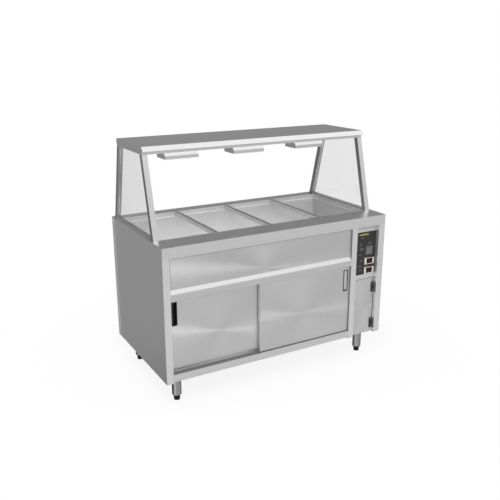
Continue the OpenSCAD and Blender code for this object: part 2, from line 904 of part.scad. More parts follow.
module controller(z) {
    half_x = controller_w / 2;
    half_z = controller_h / 2;
    body_x = half_x - controller_rim;
    body_z = half_z - controller_rim;
    front = label_y - controller_t;
    hole_x = button_w / 2 + button_fit;
    hole_z = button_h / 2 + button_fit;
    color("whitesmoke") difference() {
        union() {
            block([controller_cx - half_x, front, z - half_z], [controller_cx + half_x, label_y, z + half_z]);
            block([controller_cx - body_x, front, z - body_z],
                  [controller_cx + body_x, label_y + controller_body_d, z + body_z]);
        }
        block([controller_cx - window_w / 2, front - over, z - window_h / 2],
              [controller_cx + window_w / 2, front + window_d, z + window_h / 2]);
        for (side = [-1, 1])
            block([controller_cx + side * button_cx - hole_x, front - over, z - hole_z],
                  [controller_cx + side * button_cx + hole_x,
                   front + button_depth + 2 * button_travel, z + hole_z]);
    }
}

module button(side, z) {
    x = controller_cx + side * button_cx;
    front = label_y - controller_t;
    color("white")
        block([x - button_w / 2, front - button_rise, z - button_h / 2],
              [x + button_w / 2, front + button_depth, z + button_h / 2]);
}

// A tray that is open at the back
module access_door() {
    right = access_x + access_w;
    color("silver") difference() {
        block([access_x, control_y, leg_h], [right, control_y + access_t, access_top]);
        block([access_x + sheet, control_y + sheet, leg_h + sheet],
              [right - sheet, control_y + access_t + over, access_top - sheet]);
    }
}

// One knuckle of a hinge
module knuckle(from, to) {
    translate([hinge_x, hinge_y, from]) cylinder(h = to - from, d = knuckle_d);
}

// The bore through a hinge's knuckles
module knuckle_bore(z) {
    translate([hinge_x, hinge_y, z - over]) cylinder(h = hinge_h + 2 * over, d = hinge_pin_d + 2 * run_gap);
}

// Leaf on the stile's return, with the outer knuckles
module hinge_frame_leaves() {
    reach = knuckle_d / 2 + hover;
    third = hinge_h / 3;
    color("dimgray") for (z = [lower_hinge_z, upper_hinge_z]) difference() {
        union() {
            block([right_x - leaf_t, hinge_y - reach - leaf_w, z], [right_x, hinge_y - reach, z + hinge_h]);
            for (end = [z, z + 2 * third]) {
                block([right_x - leaf_t, hinge_y - reach - leaf_w, end], [right_x, hinge_y, end + third]);
                knuckle(end, end + third);
            }
        }
        knuckle_bore(z);
    }
}

// Leaf on the access door, with the middle knuckle
module hinge_door_leaves() {
    reach = knuckle_d / 2 + hover;
    third = hinge_h / 3;
    color("black") for (z = [lower_hinge_z, upper_hinge_z]) difference() {
        union() {
            block([hinge_x - reach - leaf_w, control_y - leaf_t, z],
                  [hinge_x - reach, control_y, z + hinge_h]);
            block([hinge_x - reach - leaf_w, control_y - leaf_t, z + third + hover],
                  [hinge_x, control_y, z + 2 * third - hover]);
            knuckle(z + third + hover, z + 2 * third - hover);
        }
        knuckle_bore(z);
    }
}

module hinge_pins() {
    color("dimgray") for (z = [lower_hinge_z, upper_hinge_z]) translate([hinge_x, hinge_y, z]) {
        cylinder(h = hinge_h, d = hinge_pin_d);
        translate([0, 0, hinge_h]) cylinder(h = hinge_head_h, d = hinge_head_d);
    }
}

// Places of the legs
function leg_corners() = [for (y = [-leg_y, leg_y], x = [-leg_x, leg_x]) [x, y, 0]];

// Tube with a fixing plate above and a bored plug below
module legs() {
    plate_z = base_z - plate_t;
    color("lightgray") for (place = leg_corners()) translate(place) difference() {
        union() {
            translate([0, 0, foot_h]) cylinder(h = plate_z - foot_h, d = leg_d);
            block([-plate_w / 2, -plate_w / 2, plate_z], [plate_w / 2, plate_w / 2, base_z]);
        }
        translate([0, 0, foot_h + plug_h])
            cylinder(h = base_z - foot_h - plug_h + over, d = leg_d - 2 * leg_wall);
        translate([0, 0, foot_h - over]) cylinder(h = plug_h + 2 * over, d = stem_d + 2 * run_gap);
    }
}

// A turned foot with a stem that runs in the leg's plug
module foot(corner) {
    top = foot_h - hover;
    color("black") translate(leg_corners()[corner]) rotate_extrude() polygon([
        [0, 0], [foot_d / 2, 0], [foot_d / 2, foot_base_h], [leg_d / 2, top],
        [stem_d / 2, top], [stem_d / 2, top + stem_rise], [0, top + stem_rise]
    ]);
}

// Outline of a leaning post, drawn in by its wall where that isn't zero
module post_outline(end, wall) {
    base = gantry_y + end * (gantry_d / 2 - wall);
    head = gantry_y + end * (frame_half - wall);
    inner = end * (post_dy - 2 * wall);
    cut = wall > 0 ? over : 0;
    polygon([
        [base + end * post_run * cut, bench_h - cut], [base - inner + end * post_run * cut, bench_h - cut],
        [head - inner - end * post_run * cut, frame_z + cut], [head - end * post_run * cut, frame_z + cut]
    ]);
}

module gantry_posts() {
    half = post_w / 2;
    color("silver") for (x = [-post_x, post_x], end = [-1, 1]) difference() {
        along_x(x - half, x + half) post_outline(end, 0);
        along_x(x - half + sheet, x + half - sheet) post_outline(end, post_wall_y);
    }
}

// Four channels under the shelf, open to the middle
module gantry_frame() {
    top = shelf_h - sheet;
    back = gantry_y + frame_half;
    inner_x = frame_x - flange_w;
    color("silver") difference() {
        block([-frame_x, frame_front, frame_z], [frame_x, back, top]);
        block([-frame_x + sheet, frame_front + sheet, frame_z + sheet],
              [frame_x - sheet, back - sheet, top - sheet]);
        block([-inner_x, frame_front + flange_w, frame_z - over], [inner_x, back - flange_w, top + over]);
    }
}

// Flat top, turned-down edges and the sloping nose with its closed ends
module gantry_shelf() {
    half = shelf_w / 2;
    lip_z = shelf_h - lip_h;
    tip = shelf_front - nose_d;
    color("silver") union() {
        block([-half, shelf_front, shelf_h - sheet], [half, shelf_back, shelf_h]);
        block([-half, shelf_back - sheet, lip_z], [half, shelf_back, shelf_h]);
        for (x = [-half, half - sheet])
            block([x, shelf_front, lip_z], [x + sheet, shelf_back, shelf_h]);
        along_x(-half, half) polygon([
            [shelf_front, shelf_h], [tip, nose_z], [tip, nose_z - sheet], [frame_front, nose_z - sheet],
            [frame_front, nose_z], [tip + nose_wall_y, nose_z], [frame_front, shelf_h - nose_wall_z + sheet],
            [frame_front, shelf_h]
        ]);
        for (x = [-half, half - sheet])
            along_x(x, x + sheet) polygon([
                [shelf_front, shelf_h], [tip, nose_z], [tip, nose_z - sheet],
                [frame_front, nose_z - sheet], [frame_front, shelf_h]
            ]);
    }
}

// Depth from the gantry's middle to the posts' inner faces at a height
function glass_half(z) = gantry_d / 2 - post_dy - (z - bench_h) * post_run - glass_gap;

module side_glass() {
    top = frame_z - glass_gap;
    color("lightcyan", 0.4) for (x = [-post_x, post_x])
        along_x(x - glass_t / 2, x + glass_t / 2) polygon([
            [gantry_y - glass_half(glass_z), glass_z], [gantry_y + glass_half(glass_z), glass_z],
            [gantry_y + glass_half(top), top], [gantry_y - glass_half(top), top]
        ]);
}

module glass_channels() {
    half = channel_w / 2;
    reach = glass_half(bench_h + channel_h);
    color("silver") for (x = [-post_x, post_x]) difference() {
        block([x - half, gantry_y - reach, bench_h], [x + half, gantry_y + reach, bench_h + channel_h]);
        block([x - half + sheet, gantry_y - reach - over, glass_z],
              [x + half - sheet, gantry_y + reach + over, bench_h + channel_h + over]);
    }
}

// Places of the lamps
function lamp_places() = [-lamp_pitch, 0, lamp_pitch];

// Open-bottomed hood with sloping sides, hung from the shelf by a channel
module lamp_hoods() {
    half = lamp_len / 2;
    side = lamp_d / 2;
    top = neck_w / 2;
    skirt = lamp_z + skirt_h;
    color("silver") for (x = lamp_places()) translate([x, lamp_y, 0]) union() {
        difference() {
            along_x(-half, half) polygon([
                [-side, lamp_z], [side, lamp_z], [side, skirt],
                [top, hood_top], [-top, hood_top], [-side, skirt]
            ]);
            along_x(-half + sheet, half - sheet) polygon([
                [-side + sheet, lamp_z - over], [side - sheet, lamp_z - over],
                [side - sheet, skirt - hood_bend], [top - hood_bend, hood_top - sheet],
                [-top + hood_bend, hood_top - sheet], [-side + sheet, skirt - hood_bend]
            ]);
        }
        difference() {
            block([-neck_len / 2, -top, hood_top], [neck_len / 2, top, shelf_h - sheet]);
            block([-neck_len / 2 - over, -top + sheet, hood_top + sheet],
                  [neck_len / 2 + over, top - sheet, shelf_h - sheet - sheet]);
        }
    }
}

module lamp_tubes() {
    reach = holder_x + holder_bore - hover;
    color("mistyrose") for (x = lamp_places())
        bar_x(x - reach, x + reach, lamp_y, tube_z, tube_d);
}

module lamp_holders() {
    half = holder_w / 2;
    color("white") for (x = lamp_places(), end = [-1, 1]) difference() {
        block([x + end * (holder_x + holder_t / 2) - holder_t / 2, lamp_y - half, tube_z - holder_h / 2],
              [x + end * (holder_x + holder_t / 2) + holder_t / 2, lamp_y + half, tube_z + holder_h / 2]);
        bar_x(x + end * holder_x - holder_bore, x + end * holder_x + holder_bore, lamp_y, tube_z,
              tube_d + 2 * holder_fit);
    }
}

// A hairpin heater whose two ends pass through the partition
module element(mid, span, z) {
    bend_x = element_end_x + span / 2;
    color("slategray") union() {
        for (y = leg_places(mid, span))
            bar_x(bend_x, control_side_x + element_tail, y, z, element_d);
        translate([bend_x, mid, z]) rotate([0, 0, 90]) rotate_extrude(angle = 180)
            translate([span / 2, 0]) circle(d = element_d);
    }
}

module well_element() {
    element(well_mid_y, well_element_span, well_element_z);
}

module cupboard_element() {
    element(element_mid_y, cupboard_element_span, cupboard_element_z);
}

module temperature_probes() {
    from = partition_x - probe_reach;
    to = control_side_x + element_tail;
    color("silver") {
        bar_x(from, to, well_mid_y, well_probe_z, probe_d);
        bar_x(from, to, cupboard_probe_y, cupboard_probe_z, probe_d);
    }
}

// A ribbed strip on the control side of the partition
module terminal_block() {
    low = terminal_y - terminal_w / 2;
    top = terminal_z + terminal_h;
    step = (terminal_w - terminal_rib) / terminal_places;
    color("ivory") union() {
        block([control_side_x, low, terminal_z], [control_side_x + terminal_base, low + terminal_w, top]);
        for (i = [0 : terminal_places])
            block([control_side_x, low + i * step, terminal_z],
                  [control_side_x + terminal_d, low + i * step + terminal_rib, top]);
    }
}

// Nut, hexagon, thread and locknut of the cable entry under the control side
module cable_gland() {
    color("black") translate([gland_x, gland_y, base_z]) difference() {
        union() {
            translate([0, 0, -gland_hex_h]) cylinder(h = gland_hex_h, d = gland_hex, $fn = 6);
            translate([0, 0, -gland_hex_h - gland_nut_h])
                cylinder(h = gland_nut_h, d1 = gland_nut_tip, d2 = gland_nut_d);
            cylinder(h = gland_rise, d = gland_d);
            translate([0, 0, sheet]) cylinder(h = gland_lock_h, d = gland_hex, $fn = 6);
        }
        translate([0, 0, -gland_hex_h - gland_nut_h - over])
            cylinder(h = gland_hex_h + gland_nut_h + gland_rise + 2 * over, d = gland_bore);
    }
}

module panel_screws() {
    color("silver") {
        for (x = panel_screw_places()) {
            bar_y(x, panel_y - screw_head_h, panel_y, panel_screw_z, screw_head_d);
            bar_y(x, panel_y - screw_head_h, panel_y + screw_len, panel_screw_z, screw_d);
        }
        for (place = rear_screw_places()) {
            bar_y(place.x, rear_y, rear_y + screw_head_h, place.y, screw_head_d);
            bar_y(place.x, rear_y - screw_len, rear_y + screw_head_h, place.y, screw_d);
        }
    }
}

bench_top();
well_tank();
divider_bar(bar_places()[0]);  // divider_bar_left
divider_bar(bar_places()[1]);  // divider_bar_middle
divider_bar(bar_places()[2]);  // divider_bar_right
side_panel_left();
side_panel_right();
rear_panel();
base_pan();
centre_stile();
upper_front_panel();
mid_rail();
bottom_rail();
door_track();
cupboard_liner();
partition();
cupboard_floor();
cupboard_shelf();
shelf_angles();
left_door();
left_handle();
roller(roller_places(left_door_x)[0], rear_door_y);  // left_roller_a
roller(roller_places(left_door_x)[1], rear_door_y);  // left_roller_b
right_door();
right_handle();
roller(roller_places(right_door_x)[0], front_door_y);  // right_roller_a
roller(roller_places(right_door_x)[1], front_door_y);  // right_roller_b
control_panel();
control_overlay();
switch_bezel();
switch_rocker();
controller(upper_controller_z);  // upper_controller
button(-1, upper_controller_z);  // upper_button_left
button(1, upper_controller_z);  // upper_button_right
controller(lower_controller_z);  // lower_controller
button(-1, lower_controller_z);  // lower_button_left
button(1, lower_controller_z);  // lower_button_right
access_door();
hinge_frame_leaves();
hinge_door_leaves();
hinge_pins();
legs();
foot(0);  // foot_front_left
foot(1);  // foot_front_right
foot(2);  // foot_rear_left
foot(3);  // foot_rear_right
gantry_posts();
gantry_frame();
gantry_shelf();
side_glass();
glass_channels();
lamp_hoods();
lamp_tubes();
lamp_holders();
well_element();
cupboard_element();
temperature_probes();
terminal_block();
cable_gland();
panel_screws();
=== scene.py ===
"""Finishes the hot cupboard: brushed steel, glass, plastics, printed controls, a studio and a camera."""

import math

import bmesh
import bpy
from bpy.props import FloatProperty, FloatVectorProperty, PointerProperty, StringProperty
from mathutils import Matrix, Vector


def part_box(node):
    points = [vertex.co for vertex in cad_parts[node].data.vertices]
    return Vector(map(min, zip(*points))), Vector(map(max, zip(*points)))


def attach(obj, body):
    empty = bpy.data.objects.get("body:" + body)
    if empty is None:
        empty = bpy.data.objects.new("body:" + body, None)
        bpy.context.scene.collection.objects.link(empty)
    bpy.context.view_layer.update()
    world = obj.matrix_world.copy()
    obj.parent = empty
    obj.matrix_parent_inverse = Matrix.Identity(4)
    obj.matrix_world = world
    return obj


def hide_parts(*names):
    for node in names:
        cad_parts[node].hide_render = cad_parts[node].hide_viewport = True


bl_info = {
    "name": "Hot Cupboard",
    "version": (1, 0, 0),
    "blender": (4, 5, 0),
    "location": "View3D > Sidebar > Cupboard",
    "description": "Finishes a steel hot cupboard with a pan well, a lamp gantry and digital controls",
    "category": "Object",
}

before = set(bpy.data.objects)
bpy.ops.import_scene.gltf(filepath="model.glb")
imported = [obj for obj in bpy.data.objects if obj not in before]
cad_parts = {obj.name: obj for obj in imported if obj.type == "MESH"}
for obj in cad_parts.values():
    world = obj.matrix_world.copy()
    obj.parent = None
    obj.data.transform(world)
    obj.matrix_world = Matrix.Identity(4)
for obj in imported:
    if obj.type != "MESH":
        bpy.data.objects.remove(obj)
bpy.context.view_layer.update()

X, Y, Z = Vector((1, 0, 0)), Vector((0, 1, 0)), Vector((0, 0, 1))
# The numbers of the axes in a vector's parts
X_AXIS, Y_AXIS, Z_AXIS = 0, 1, 2
QUARTER_TURN, HALF_TURN = math.pi / 2, math.pi
# A grain that is a hair off its axis leaves no face square to it
GRAIN_ALONG_X = Vector((1, 0.01, 0.01))
GRAIN_ALONG_Z = Vector((0.01, 0.01, 1))
WHITE = (1, 1, 1, 1)


def colour(label, description, default):
    return FloatVectorProperty(
        name=label, description=description, subtype="COLOR", size=3, min=0, max=1, default=default)


def number(label, description, default, **settings):
    return FloatProperty(name=label, description=description, default=default, **settings)


def length(label, description, default):
    return number(label, description, default, subtype="DISTANCE", unit="LENGTH", min=0)


def share(label, description, default):
    return number(label, description, default, subtype="FACTOR", min=0, max=1)


class SteelSettings(bpy.types.PropertyGroup):
    """Sheet steel of the casing, the well and the inside"""

    casing: colour("Casing", "Colour of the brushed casing sheet", (0.72, 0.72, 0.725))
    # The colour of painted shade on the rail's top under the doors, the upper panel's seams, the recess
    # under the apron, the centre stile's left wall and the posts' left faces
    painted_shade: colour("Sill", "Colour of the worn sill, the seams and faces in deep shade", (0.34, 0.34, 0.345))
    # The outer sides take this darker colour as painted shade
    side: colour("Sides", "Colour of the outer sides", (0.62, 0.62, 0.625))
    shaded: colour("Shaded", "Colour of the rear posts and the well's right wall", (0.48, 0.48, 0.485))
    trim: colour("Trim", "Colour of the straight-brushed frame and rails", (0.78, 0.78, 0.785))
    tank: colour("Tank", "Colour of the well's sheet", (0.86, 0.86, 0.86))
    hood: colour("Hood", "Colour of the lamp hoods", (0.78, 0.78, 0.78))
    inside: colour("Inside", "Colour of the plain sheet inside the cupboard", (0.60, 0.60, 0.60))
    polished: colour("Polished", "Colour of the polished legs", (0.34, 0.34, 0.34))
    dark: colour("Dark", "Colour of the screws in the hinges", (0.3, 0.3, 0.3))
    element: colour("Element", "Colour of the heating elements", (0.2, 0.19, 0.19))
    panel_roughness: share("Panel roughness", "Roughness of the circle-brushed panels", 0.27)
    panel_stretch: share("Panel stretch", "How far the brushing draws out a panel's reflections", 0.99)
    frame_roughness: share("Frame roughness", "Roughness of the straight-brushed frame", 0.36)
    frame_stretch: share("Frame stretch", "How far the brushing draws out the frame's reflections", 0.5)
    edge: length("Edge", "Radius of the folded edges", 0.0008)
    # How far the painted shade along the upper panel's seams reaches over it
    seam: length("Seam", "How far the grime in the seams reaches over a panel", 0.004)


class ControlSettings(bpy.types.PropertyGroup):
    """Printed film, switch and controllers"""

    film: colour("Film", "Colour of the film over the control panel", (0.017, 0.0155, 0.016))
    stripe: colour("Stripe", "Colour of the stripe and the rules", (0.36, 0.32, 0.03))
    mark: colour("Marks", "Colour of the legend bars, the arrowheads, I and O", (0.26, 0.255, 0.25))
    switch: colour("Switch", "Colour of the switch", (0.14, 0.133, 0.133))
    controller: colour("Controller", "Colour of the controllers", (0.64, 0.64, 0.63))
    window: colour("Window", "Colour of the display windows", (0.004, 0.004, 0.004))
    digit: colour("Digits", "Colour of the digits' light", (0.50, 0.02, 0.02))
    unlit: colour("Unlit digits", "Colour of the digits without their light", (0.02, 0.0, 0.0))
    upper_reading: StringProperty(
        name="Upper reading", description="Number on the upper display", default="85")
    lower_reading: StringProperty(
        name="Lower reading", description="Number on the lower display", default="65")
    print_thickness: length("Print", "Thickness of the printed bars and marks", 0.0001)


class MouldingSettings(bpy.types.PropertyGroup):
    """Handles, feet, rollers, small mouldings and glass"""

    black: colour("Black", "Colour of the handles, the feet and the gland", (0.006, 0.006, 0.006))
    hinge: colour("Hinge", "Colour of the hinges on the access door", (0.025, 0.025, 0.027))
    nylon: colour("Nylon", "Colour of the rollers", (0.78, 0.75, 0.66))
    ivory: colour("Ivory", "Colour of the terminal block", (0.72, 0.68, 0.56))
    ceramic: colour("Ceramic", "Colour of the lamp holders", (0.82, 0.80, 0.76))
    glass: colour("Glass", "Colour of the side panes", (0.84, 0.84, 0.845))
    quartz: colour("Quartz", "Colour of the lamp tubes", (0.95, 0.9, 0.86))


class StudioSettings(bpy.types.PropertyGroup):
    """Camera, floor and light"""

    camera_place: FloatVectorProperty(
        name="Camera", description="Place of the camera", subtype="TRANSLATION", size=3,
        default=(-1.867459, -3.278312, 1.846951))
    camera_turn: number("Turn", "Turn of the camera right of straight back", 0.518404, subtype="ANGLE")
    camera_dip: number("Dip", "Dip of the camera below the horizon", 0.298732, subtype="ANGLE")
    focal_length: number("Focal length", "Focal length in pixels of the picture", 656.92, subtype="PIXEL")
    picture: number("Picture", "Width of the picture in pixels", 500, subtype="PIXEL")
    floor: colour("Floor", "Colour of the floor", (0.92, 0.92, 0.92))
    floor_white: share("Floor white", "How far the floor near the cupboard is plain white to the eye", 0.87)
    fill: number("Fill", "Strength of the soft light from all round", 0.65)
    key: number("Key", "Power of the softbox in watts", 110, unit="POWER")
    glow: number("Glow", "Power of the light under the shelf in watts", 1.1, unit="POWER")
    strip: number("Strip", "Strength of the strip that the panels reflect", 3.4)
    side: number("Side", "Strength of the softbox that the legs reflect", 0.45)


class CupboardSettings(bpy.types.PropertyGroup):
    """All settings of the hot cupboard"""

    steel: PointerProperty(name="Steel", description="Sheet steel", type=SteelSettings)
    controls: PointerProperty(name="Controls", description="Film and displays", type=ControlSettings)
    moulding: PointerProperty(name="Moulding", description="Plastics and glass", type=MouldingSettings)
    studio: PointerProperty(name="Studio", description="Camera and light", type=StudioSettings)


def settings_of(context):
    return context.scene.hot_cupboard


def node(tree, kind, inputs=None, **settings):
    """Adds a node. An input given as a socket is linked, and any other value is set on it."""
    made = tree.nodes.new(kind)
    for key, value in settings.items():
        setattr(made, key, value)
    for key, value in (inputs or {}).items():
        if isinstance(value, bpy.types.NodeSocket):
            tree.links.new(value, made.inputs[key])
        else:
            made.inputs[key].default_value = value
    return made


def maths(tree, operation, first, second):
    return node(tree, "ShaderNodeMath", {0: first, 1: second}, operation=operation).outputs[0]


def vector_maths(tree, operation, *vectors):
    return node(tree, "ShaderNodeVectorMath", dict(enumerate(vectors)), operation=operation).outputs[0]


def distance(tree, place):
    """How far a place is from zero."""
    return node(tree, "ShaderNodeVectorMath", {0: place}, operation="LENGTH").outputs["Value"]


def parts_of(tree, vector):
    return node(tree, "ShaderNodeSeparateXYZ", {0: vector}).outputs


def ranged(tree, value, start, end, low=0.0, high=1.0, **settings):
    """Takes a value that goes from start to end to one that goes from low to high."""
    inputs = {"Value": value, "From Min": start, "From Max": end, "To Min": low, "To Max": high}
    return node(tree, "ShaderNodeMapRange", inputs, **settings).outputs[0]


# The colour sockets of a mix node
MIX_FIRST, MIX_SECOND, MIX_RESULT = 6, 7, 2


def mixed(tree, factor, first, second, blend="MIX"):
    """Goes from one colour to another as the factor goes from nought to one."""
    inputs = {"Factor": factor, MIX_FIRST: first, MIX_SECOND: second}
    return node(tree, "ShaderNodeMix", inputs, data_type="RGBA", blend_type=blend).outputs[MIX_RESULT]


def mixed_shaders(tree, factor, first, second):
    return node(tree, "ShaderNodeMixShader", {0: factor, 1: first, 2: second}).outputs[0]


def shader_of(material):
    return material.node_tree.nodes["Principled BSDF"]


def blank(name, base, roughness, **sockets):
    """A material with its principled shader set to constant values."""
    material = bpy.data.materials.new(name)
    material.use_nodes = True
    shader = shader_of(material)
    shader.inputs["Base Color"].default_value = (*base, 1)
    shader.inputs["Roughness"].default_value = roughness
    for key, value in sockets.items():
        shader.inputs[key.replace("_", " ")].default_value = value
    return material, material.node_tree, shader


def object_place(tree, centre=None, scale=None):
    """Object coordinates, moved so that centre is at zero and stretched by scale."""
    place = node(tree, "ShaderNodeTexCoord").outputs["Object"]
    if centre is not None:
        inputs = {"Vector": place, "Location": -Vector(centre)}
        place = node(tree, "ShaderNodeMapping", inputs).outputs[0]
    if scale is not None:
        place = node(tree, "ShaderNodeMapping", {"Vector": place, "Scale": scale}).outputs[0]
    return place


def along(tree, axis):
    """How far a point lies along an axis, which is given by its number."""
    return parts_of(tree, object_place(tree))[axis]


def normal_of(tree):
    return node(tree, "ShaderNodeNewGeometry").outputs["Normal"]


def facing(tree, axis):
    """How far a face looks along an axis, which is given by its number."""
    return parts_of(tree, normal_of(tree))[axis]


def to_world(tree, vector):
    turned = node(tree, "ShaderNodeVectorTransform", {"Vector": vector}, vector_type="VECTOR",
                  convert_from="OBJECT", convert_to="WORLD")
    return turned.outputs[0]


def noise(tree, place, scale, detail=3.0):
    inputs = {"Vector": place, "Scale": scale, "Detail": detail}
    return node(tree, "ShaderNodeTexNoise", inputs).outputs[0]


# Most of a noise lies between these two values
NOISE_LOW, NOISE_HIGH = 0.25, 0.75


def roughened(tree, shader, value, roughness, change):
    """Roughness that a noise varies, by a change down and up."""
    varied = ranged(tree, value, NOISE_LOW, NOISE_HIGH, roughness - change, roughness + change)
    tree.links.new(varied, shader.inputs["Roughness"])


def tinted(tree, shader, value, base, change):
    """Base colour that a noise varies, a little darker and a little lighter than base."""
    darker = [part * (1 - change) for part in base]
    lighter = [min(1, part * (1 + change)) for part in base]
    varied = mixed(tree, value, (*darker, 1), (*lighter, 1))
    tree.links.new(varied, shader.inputs["Base Color"])


def fade_to(material, value, start, end, base):
    """Takes the finish to another colour as a value goes from start to end, to paint light or shade."""
    tree = material.node_tree
    shader = shader_of(material)
    finish = shader.inputs["Base Color"].links[0].from_socket
    faded = mixed(tree, ranged(tree, value, start, end), finish, (*base, 1))
    tree.links.new(faded, shader.inputs["Base Color"])


# How far a face looks to the side where its painted shade starts, and where it is whole
SIDE_SHADE = (0.3, 0.6)


def shade_side(material, side, base):
    """Paints shade on the faces that look to a side, 1 for the right and -1 for the left, in another
    colour.
    """
    start, end = (side * part for part in SIDE_SHADE)
    fade_to(material, facing(material.node_tree, X_AXIS), start, end, base)


# Scale of the rings that circular brushing leaves, and how far they change the roughness
BRUSH_SCALE, BRUSH_CHANGE = 6000.0, 0.03
# Scale of the clouds on such a panel, and how far they change the colour
PANEL_CLOUDS, PANEL_TINT = 6.0, 0.02


def swirl_steel(name, base, settings, centre, twist):
    """Sheet brushed in circles about a centre, which draws reflections out along the rays."""
    material, tree, shader = blank(
        name, base, settings.panel_roughness, Metallic=1.0, Anisotropic=settings.panel_stretch,
        Anisotropic_Rotation=twist / (2 * math.pi))
    rays = object_place(tree, centre)
    tree.links.new(to_world(tree, rays), shader.inputs["Tangent"])
    inputs = {"W": distance(tree, rays), "Scale": BRUSH_SCALE}
    rings = node(tree, "ShaderNodeTexNoise", inputs, noise_dimensions="1D").outputs[0]
    roughened(tree, shader, rings, settings.panel_roughness, BRUSH_CHANGE)
    tinted(tree, shader, noise(tree, rays, PANEL_CLOUDS), base, PANEL_TINT)
    return material


def shade_seams(material, low, high, settings):
    """Painted shade along the seams of a panel, over the part that shows between two corners."""
    tree = material.node_tree
    away = vector_maths(tree, "ABSOLUTE", object_place(tree, (low + high) / 2))
    room = parts_of(tree, vector_maths(tree, "SUBTRACT", (high - low) / 2, away))
    rim = maths(tree, "MINIMUM", room[X_AXIS], room[Z_AXIS])
    fade_to(material, rim, settings.seam, 0.0, settings.painted_shade)


# Scales of the streaks along and across the grain, and how far they change roughness and colour
STREAKS_ALONG, STREAKS_ACROSS = 3.0, 900.0
STREAK_CHANGE = 0.03


def straight_steel(name, base, roughness, stretch, grain, metallic=1.0):
    """Sheet or bar brushed along one direction."""
    material, tree, shader = blank(name, base, roughness, Metallic=metallic, Anisotropic=stretch)
    tree.links.new(vector_maths(tree, "CROSS_PRODUCT", normal_of(tree), grain), shader.inputs["Tangent"])
    scales = Vector(STREAKS_ALONG if part > 0.5 else STREAKS_ACROSS for part in grain)
    streaks = noise(tree, object_place(tree, scale=scales), 1.0)
    roughened(tree, shader, streaks, roughness, STREAK_CHANGE)
    tinted(tree, shader, streaks, base, STREAK_CHANGE)
    return material


def brushing(steel, base):
    """Colour, roughness and stretch of the straight-brushed frame."""
    return base, steel.frame_roughness, steel.frame_stretch


# Scale of the clouds of a mill finish, and how far they change the colour and the roughness
MILL_CLOUDS, MILL_TINT, MILL_CHANGE = 9.0, 0.04, 0.05


def plain_steel(name, base, roughness, metallic=1.0, **sockets):
    """Sheet with a cloudy mill finish."""
    material, tree, shader = blank(name, base, roughness, Metallic=metallic, **sockets)
    clouds = noise(tree, object_place(tree), MILL_CLOUDS)
    roughened(tree, shader, clouds, roughness, MILL_CHANGE)
    tinted(tree, shader, clouds, base, MILL_TINT)
    return material


# Size of the grain that a mould leaves, its depth and how much of it shows
MOULD_GRAIN, GRAIN_DEPTH, GRAIN_SHOWS = 0.0004, 0.00005, 0.25
# Scale of the clouds of a moulding, and how far they change the colour and the roughness
MOULD_CLOUDS, MOULD_TINT, MOULD_CHANGE = 40.0, 0.05, 0.05


def moulded(name, base, roughness, **sockets):
    """Plastic, film or ceramic with the fine grain of its mould."""
    material, tree, shader = blank(name, base, roughness, **sockets)
    grain = noise(tree, object_place(tree), 1 / MOULD_GRAIN, detail=2.0)
    inputs = {"Height": grain, "Strength": GRAIN_SHOWS, "Distance": GRAIN_DEPTH}
    tree.links.new(node(tree, "ShaderNodeBump", inputs).outputs[0], shader.inputs["Normal"])
    clouds = noise(tree, object_place(tree), MOULD_CLOUDS)
    roughened(tree, shader, clouds, roughness, MOULD_CHANGE)
    tinted(tree, shader, clouds, base, MOULD_TINT)
    return material


def dress(material, names, edge=0.0):
    """Gives a finish to CAD nodes, and rounds their edges where an edge radius is given."""
    for name in names:
        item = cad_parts[name]
        for place in item.material_slots:
            place.material = material
        if edge:
            round_edges(item, edge)


# Points of a node nearer than this are one, faces flatter than the first angle are one, and edges
# sharper than the second are folds
SAME_POINT = 0.00001
FLAT_ANGLE, FOLD_ANGLE = math.radians(1), math.radians(40)


def round_edges(item, radius):
    weld = item.modifiers.new("weld", "WELD")
    weld.merge_threshold = SAME_POINT
    flat = item.modifiers.new("flat", "DECIMATE")
    flat.decimate_type = "DISSOLVE"
    flat.angle_limit = FLAT_ANGLE
    bevel = item.modifiers.new("bevel", "BEVEL")
    bevel.limit_method = "ANGLE"
    bevel.angle_limit = FOLD_ANGLE
    bevel.width = radius
    bevel.segments = 2
    bevel.profile = 0.5


def finished(name, bm, material, body):
    """Turns a bmesh into a piece that rides on a body."""
    bmesh.ops.remove_doubles(bm, verts=bm.verts, dist=1e-7)
    bmesh.ops.recalc_face_normals(bm, faces=bm.faces)
    mesh = bpy.data.meshes.new(name)
    bm.to_mesh(mesh)
    bm.free()
    mesh.materials.append(material)
    item = bpy.data.objects.new(name, mesh)
    bpy.context.scene.collection.objects.link(item)
    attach(item, body)
    return item


def cuboid(bm, low, high, place=None):
    """Adds a block between two corners, then moves it to a place."""
    low, high = Vector(low), Vector(high)
    shape = Matrix.Translation((low + high) / 2) @ Matrix.Diagonal((*(high - low), 1))
    bmesh.ops.create_cube(bm, size=1, matrix=shape if place is None else place @ shape)


def bevelled(bm, edges, radius, segments):
    bmesh.ops.bevel(
        bm, geom=edges, offset=radius, segments=segments, profile=0.5, affect="EDGES", material=-1)


def all_of(bm):
    return bm.verts[:] + bm.edges[:] + bm.faces[:]


def points_in(geometry):
    return [item for item in geometry if isinstance(item, bmesh.types.BMVert)]


def joined(bm, part):
    """Moves a finished part into a bmesh."""
    mesh = bpy.data.meshes.new("part")
    part.to_mesh(mesh)
    part.free()
    bm.from_mesh(mesh)
    bpy.data.meshes.remove(mesh)


# Shares of a screw head's height: how far its dome comes down, and how deep its recess is
DOME, RECESS_DEPTH = 0.55, 0.6
# Shares of its radius: half the width of the recess's arms, and their reach
ARM_HALF, ARM_REACH = 0.13, 0.55


